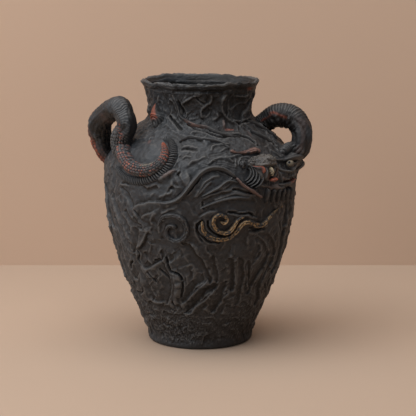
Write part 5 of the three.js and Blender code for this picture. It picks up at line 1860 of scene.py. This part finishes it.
class JAR_OT_face(bpy.types.Operator):
    """Model the dragon's face: eyes, nose, muzzle, lips, fang, tongue, brows and cheek"""

    bl_idname = "jar.face"
    bl_label = "Face"

    def execute(self, context):
        for node, border, height, paint, slot in (
            ("muzzle", ((-8, 40, 53), (-3, 37.5, 55), (2, 35.6, 54.5), (8, 35, 54), (14, 35, 53),
                        (20, 33, 52), (25, 30, 51.5), (30, 29, 51), (34, 31, 51), (38, 36, 49)),
             muzzle_height, muzzle_paint, "charcoal_glaze"),
            ("right_cheek", ((-9, 50, 64), (-4, 48, 76), (2, 47.5, 90), (8, 48, 100),
                             (14, 47.5, 105), (21, 46.5, 105), (27, 46, 102), (33, 48, 96)),
             cheek_height, cheek_paint, "charcoal_glaze"),
            ("nose", ((21, 41, 46.6), (22.6, 36, 49), (25, 32.4, 49.8), (28, 30, 49.6),
                      (31.4, 30.2, 48), (34, 33, 45), (36, 36.5, 42)),
             nose_height, nose_paint, "smooth_charcoal"),
        ):
            place_piece(patch(node + "_clay", border, height, paint), node, slot)
        for node, place, halves, detail, turn, paint, slot, sit in (
            ("right_eye", (60, 20.8), (4.6, 3.9, 4.3), eye_detail(EYE_LOOK), 0,
             eye_paint(EYE_LOOK), "bone_slip", 10),
            ("left_eye", (26.8, 28.4), (4.2, 4.4, 4.6), rough_clay(61, 0.6), 0, None,
             "charcoal_glaze", 0),
            ("fang", (41.2, 17.2), (2.2, 5.0, 3.8), rough_clay(62, 0.12), 2,
             solid_paint(BONE), "bone_slip", 11.2),
            ("tongue_tip", (43.2, 9.6), (4.6, 2.1, 4.6), rough_clay(63, 0.25), 8,
             solid_paint(RED), "red_slip", 9.3),
        ):
            piece = lump(node + "_clay", place, halves, detail, turn, paint, sit)
            place_piece(piece, node, slot)
        for node, route, half, shape, paint, slot, over in (
            ("upper_lip", ((31.4, 25.6), (34.4, 24), (36.6, 21.2), (37, 16.6)),
             (1.0, 1.5, 1.5, 1.2), strand((1.8, 2.6, 2.2), 0, 71), all_over(RED, 0.75), "red_slip",
             face_mass),
            ("lower_lip", ((49, 3.4), (54, 2.4), (60.5, 3), (67, 5.2)), (1.2, 1.7, 1.5, 1.0),
             strand((1.6, 2.2, 1.6), 0, 72), lip_paint, "red_slip", face_mass),
            ("right_brow", ((48.6, 29.6), (53.8, 27.4), (64.6, 25.6), (77, 23), (90, 20)),
             (1.4, 2.2, 2.6, 2.8, 2), strand((2, 3.4, 3.8, 4.2), 1, 73), None, "charcoal_glaze",
             face_mass),
            ("left_brow", ((20.8, 42.4), (24.5, 39.9), (29, 39.3), (33.4, 39.4), (37.6, 40),
                           (42.4, 37.4)),
             (1.9, 1.0, 1.6, 2.9, 3.2, 1.2), flat_clay((2.6, 1.8, 3.0, 4.5, 5.5, 5.5), 3, 74),
             all_over(ROSE, 0.9), "rose_slip", None),
            ("forehead_tuft", ((62, 33), (70, 34.5), (79, 34.5), (89, 31)), (4.5, 6.6, 7, 6),
             tuft_shape, None, "charcoal_glaze", None),
        ):
            lay(node, route, half, shape, paint, slot, step=0.5, seat=0.1, over=over)
        return {"FINISHED"}


def tuft_shape(s, q, share, length):
    """A row of short locks that hang side by side."""
    locks = rolls(s / 4.2 + 0.25 * q + 0.35 * speckle(s / 7, 0 * q, 75)) ** 0.7
    lines = 0.4 * np.cos(2 * np.pi * s / 1.4)
    high = np.interp(share, [0, 0.5, 1], [7, 10, 10])
    fall = 1 - 0.35 * smooth(0, -1, q)
    made = (high - 3.4 + 3.4 * locks + lines) * rounded(q, 3) * fall
    return made, 2.4 * locks - 1.5 + lines


BEARD_LOCKS = 6


class JAR_OT_cheek_and_beard(bpy.types.Operator):
    """Model the curved folds of the left cheek and the locks of the beard"""

    bl_idname = "jar.cheek_and_beard"
    bl_label = "Cheek folds and beard"

    def execute(self, context):
        for i, route in enumerate(CHEEK_FOLDS):
            high = 3.2 + 0.8 * i
            shape = strand((high - 1.4, high, high, high - 2), 0, 80 + i)
            lay("cheek_fold_%d" % (i + 1), route, (0.7, 1.2, 1.2, 0.7), shape, step=0.5)
        for i in range(BEARD_LOCKS):
            angle = 41 + 4.6 * i
            route = ((angle, 1.5 - 0.8 * i), (angle, -7), (angle + 0.6 * i, -16 - 0.6 * i))
            shape = strand((6.5, 5, 2), 3, 90 + i)
            lay("beard_lock_%d" % (i + 1), route, (2.2, 3, 1.2), shape, step=0.5)
        return {"FINISHED"}


class JAR_PT_pieces(bpy.types.Panel):
    """Lists the jar's colours and the steps that model it"""

    bl_idname = "JAR_PT_pieces"
    bl_label = "Dragon Jar"
    bl_space_type = "VIEW_3D"
    bl_region_type = "UI"
    bl_category = "Dragon Jar"

    def draw(self, context):
        layout = self.layout
        for settings in (context.scene.jar_colours, context.scene.jar_studio):
            for name in settings.__annotations__:
                layout.prop(settings, name)
        for step in STEPS:
            layout.operator(step.bl_idname)


STEPS = (
    JAR_OT_studio, JAR_OT_pot, JAR_OT_handles, JAR_OT_coil, JAR_OT_tail_tip, JAR_OT_whisker,
    JAR_OT_mane, JAR_OT_clouds, JAR_OT_face, JAR_OT_cheek_and_beard,
)
CLASSES = (JarColours, JarStudio, *STEPS, JAR_PT_pieces)


def register():
    for made in CLASSES:
        bpy.utils.register_class(made)
    bpy.types.Scene.jar_colours = bpy.props.PointerProperty(type=JarColours)
    bpy.types.Scene.jar_studio = bpy.props.PointerProperty(type=JarStudio)


def unregister():
    del bpy.types.Scene.jar_colours
    del bpy.types.Scene.jar_studio
    for made in reversed(CLASSES):
        bpy.utils.unregister_class(made)


def main():
    """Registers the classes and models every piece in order."""
    register()
    for step in STEPS:
        getattr(bpy.ops.jar, step.bl_idname.split(".")[1])()


if __name__ == "__main__":
    main()
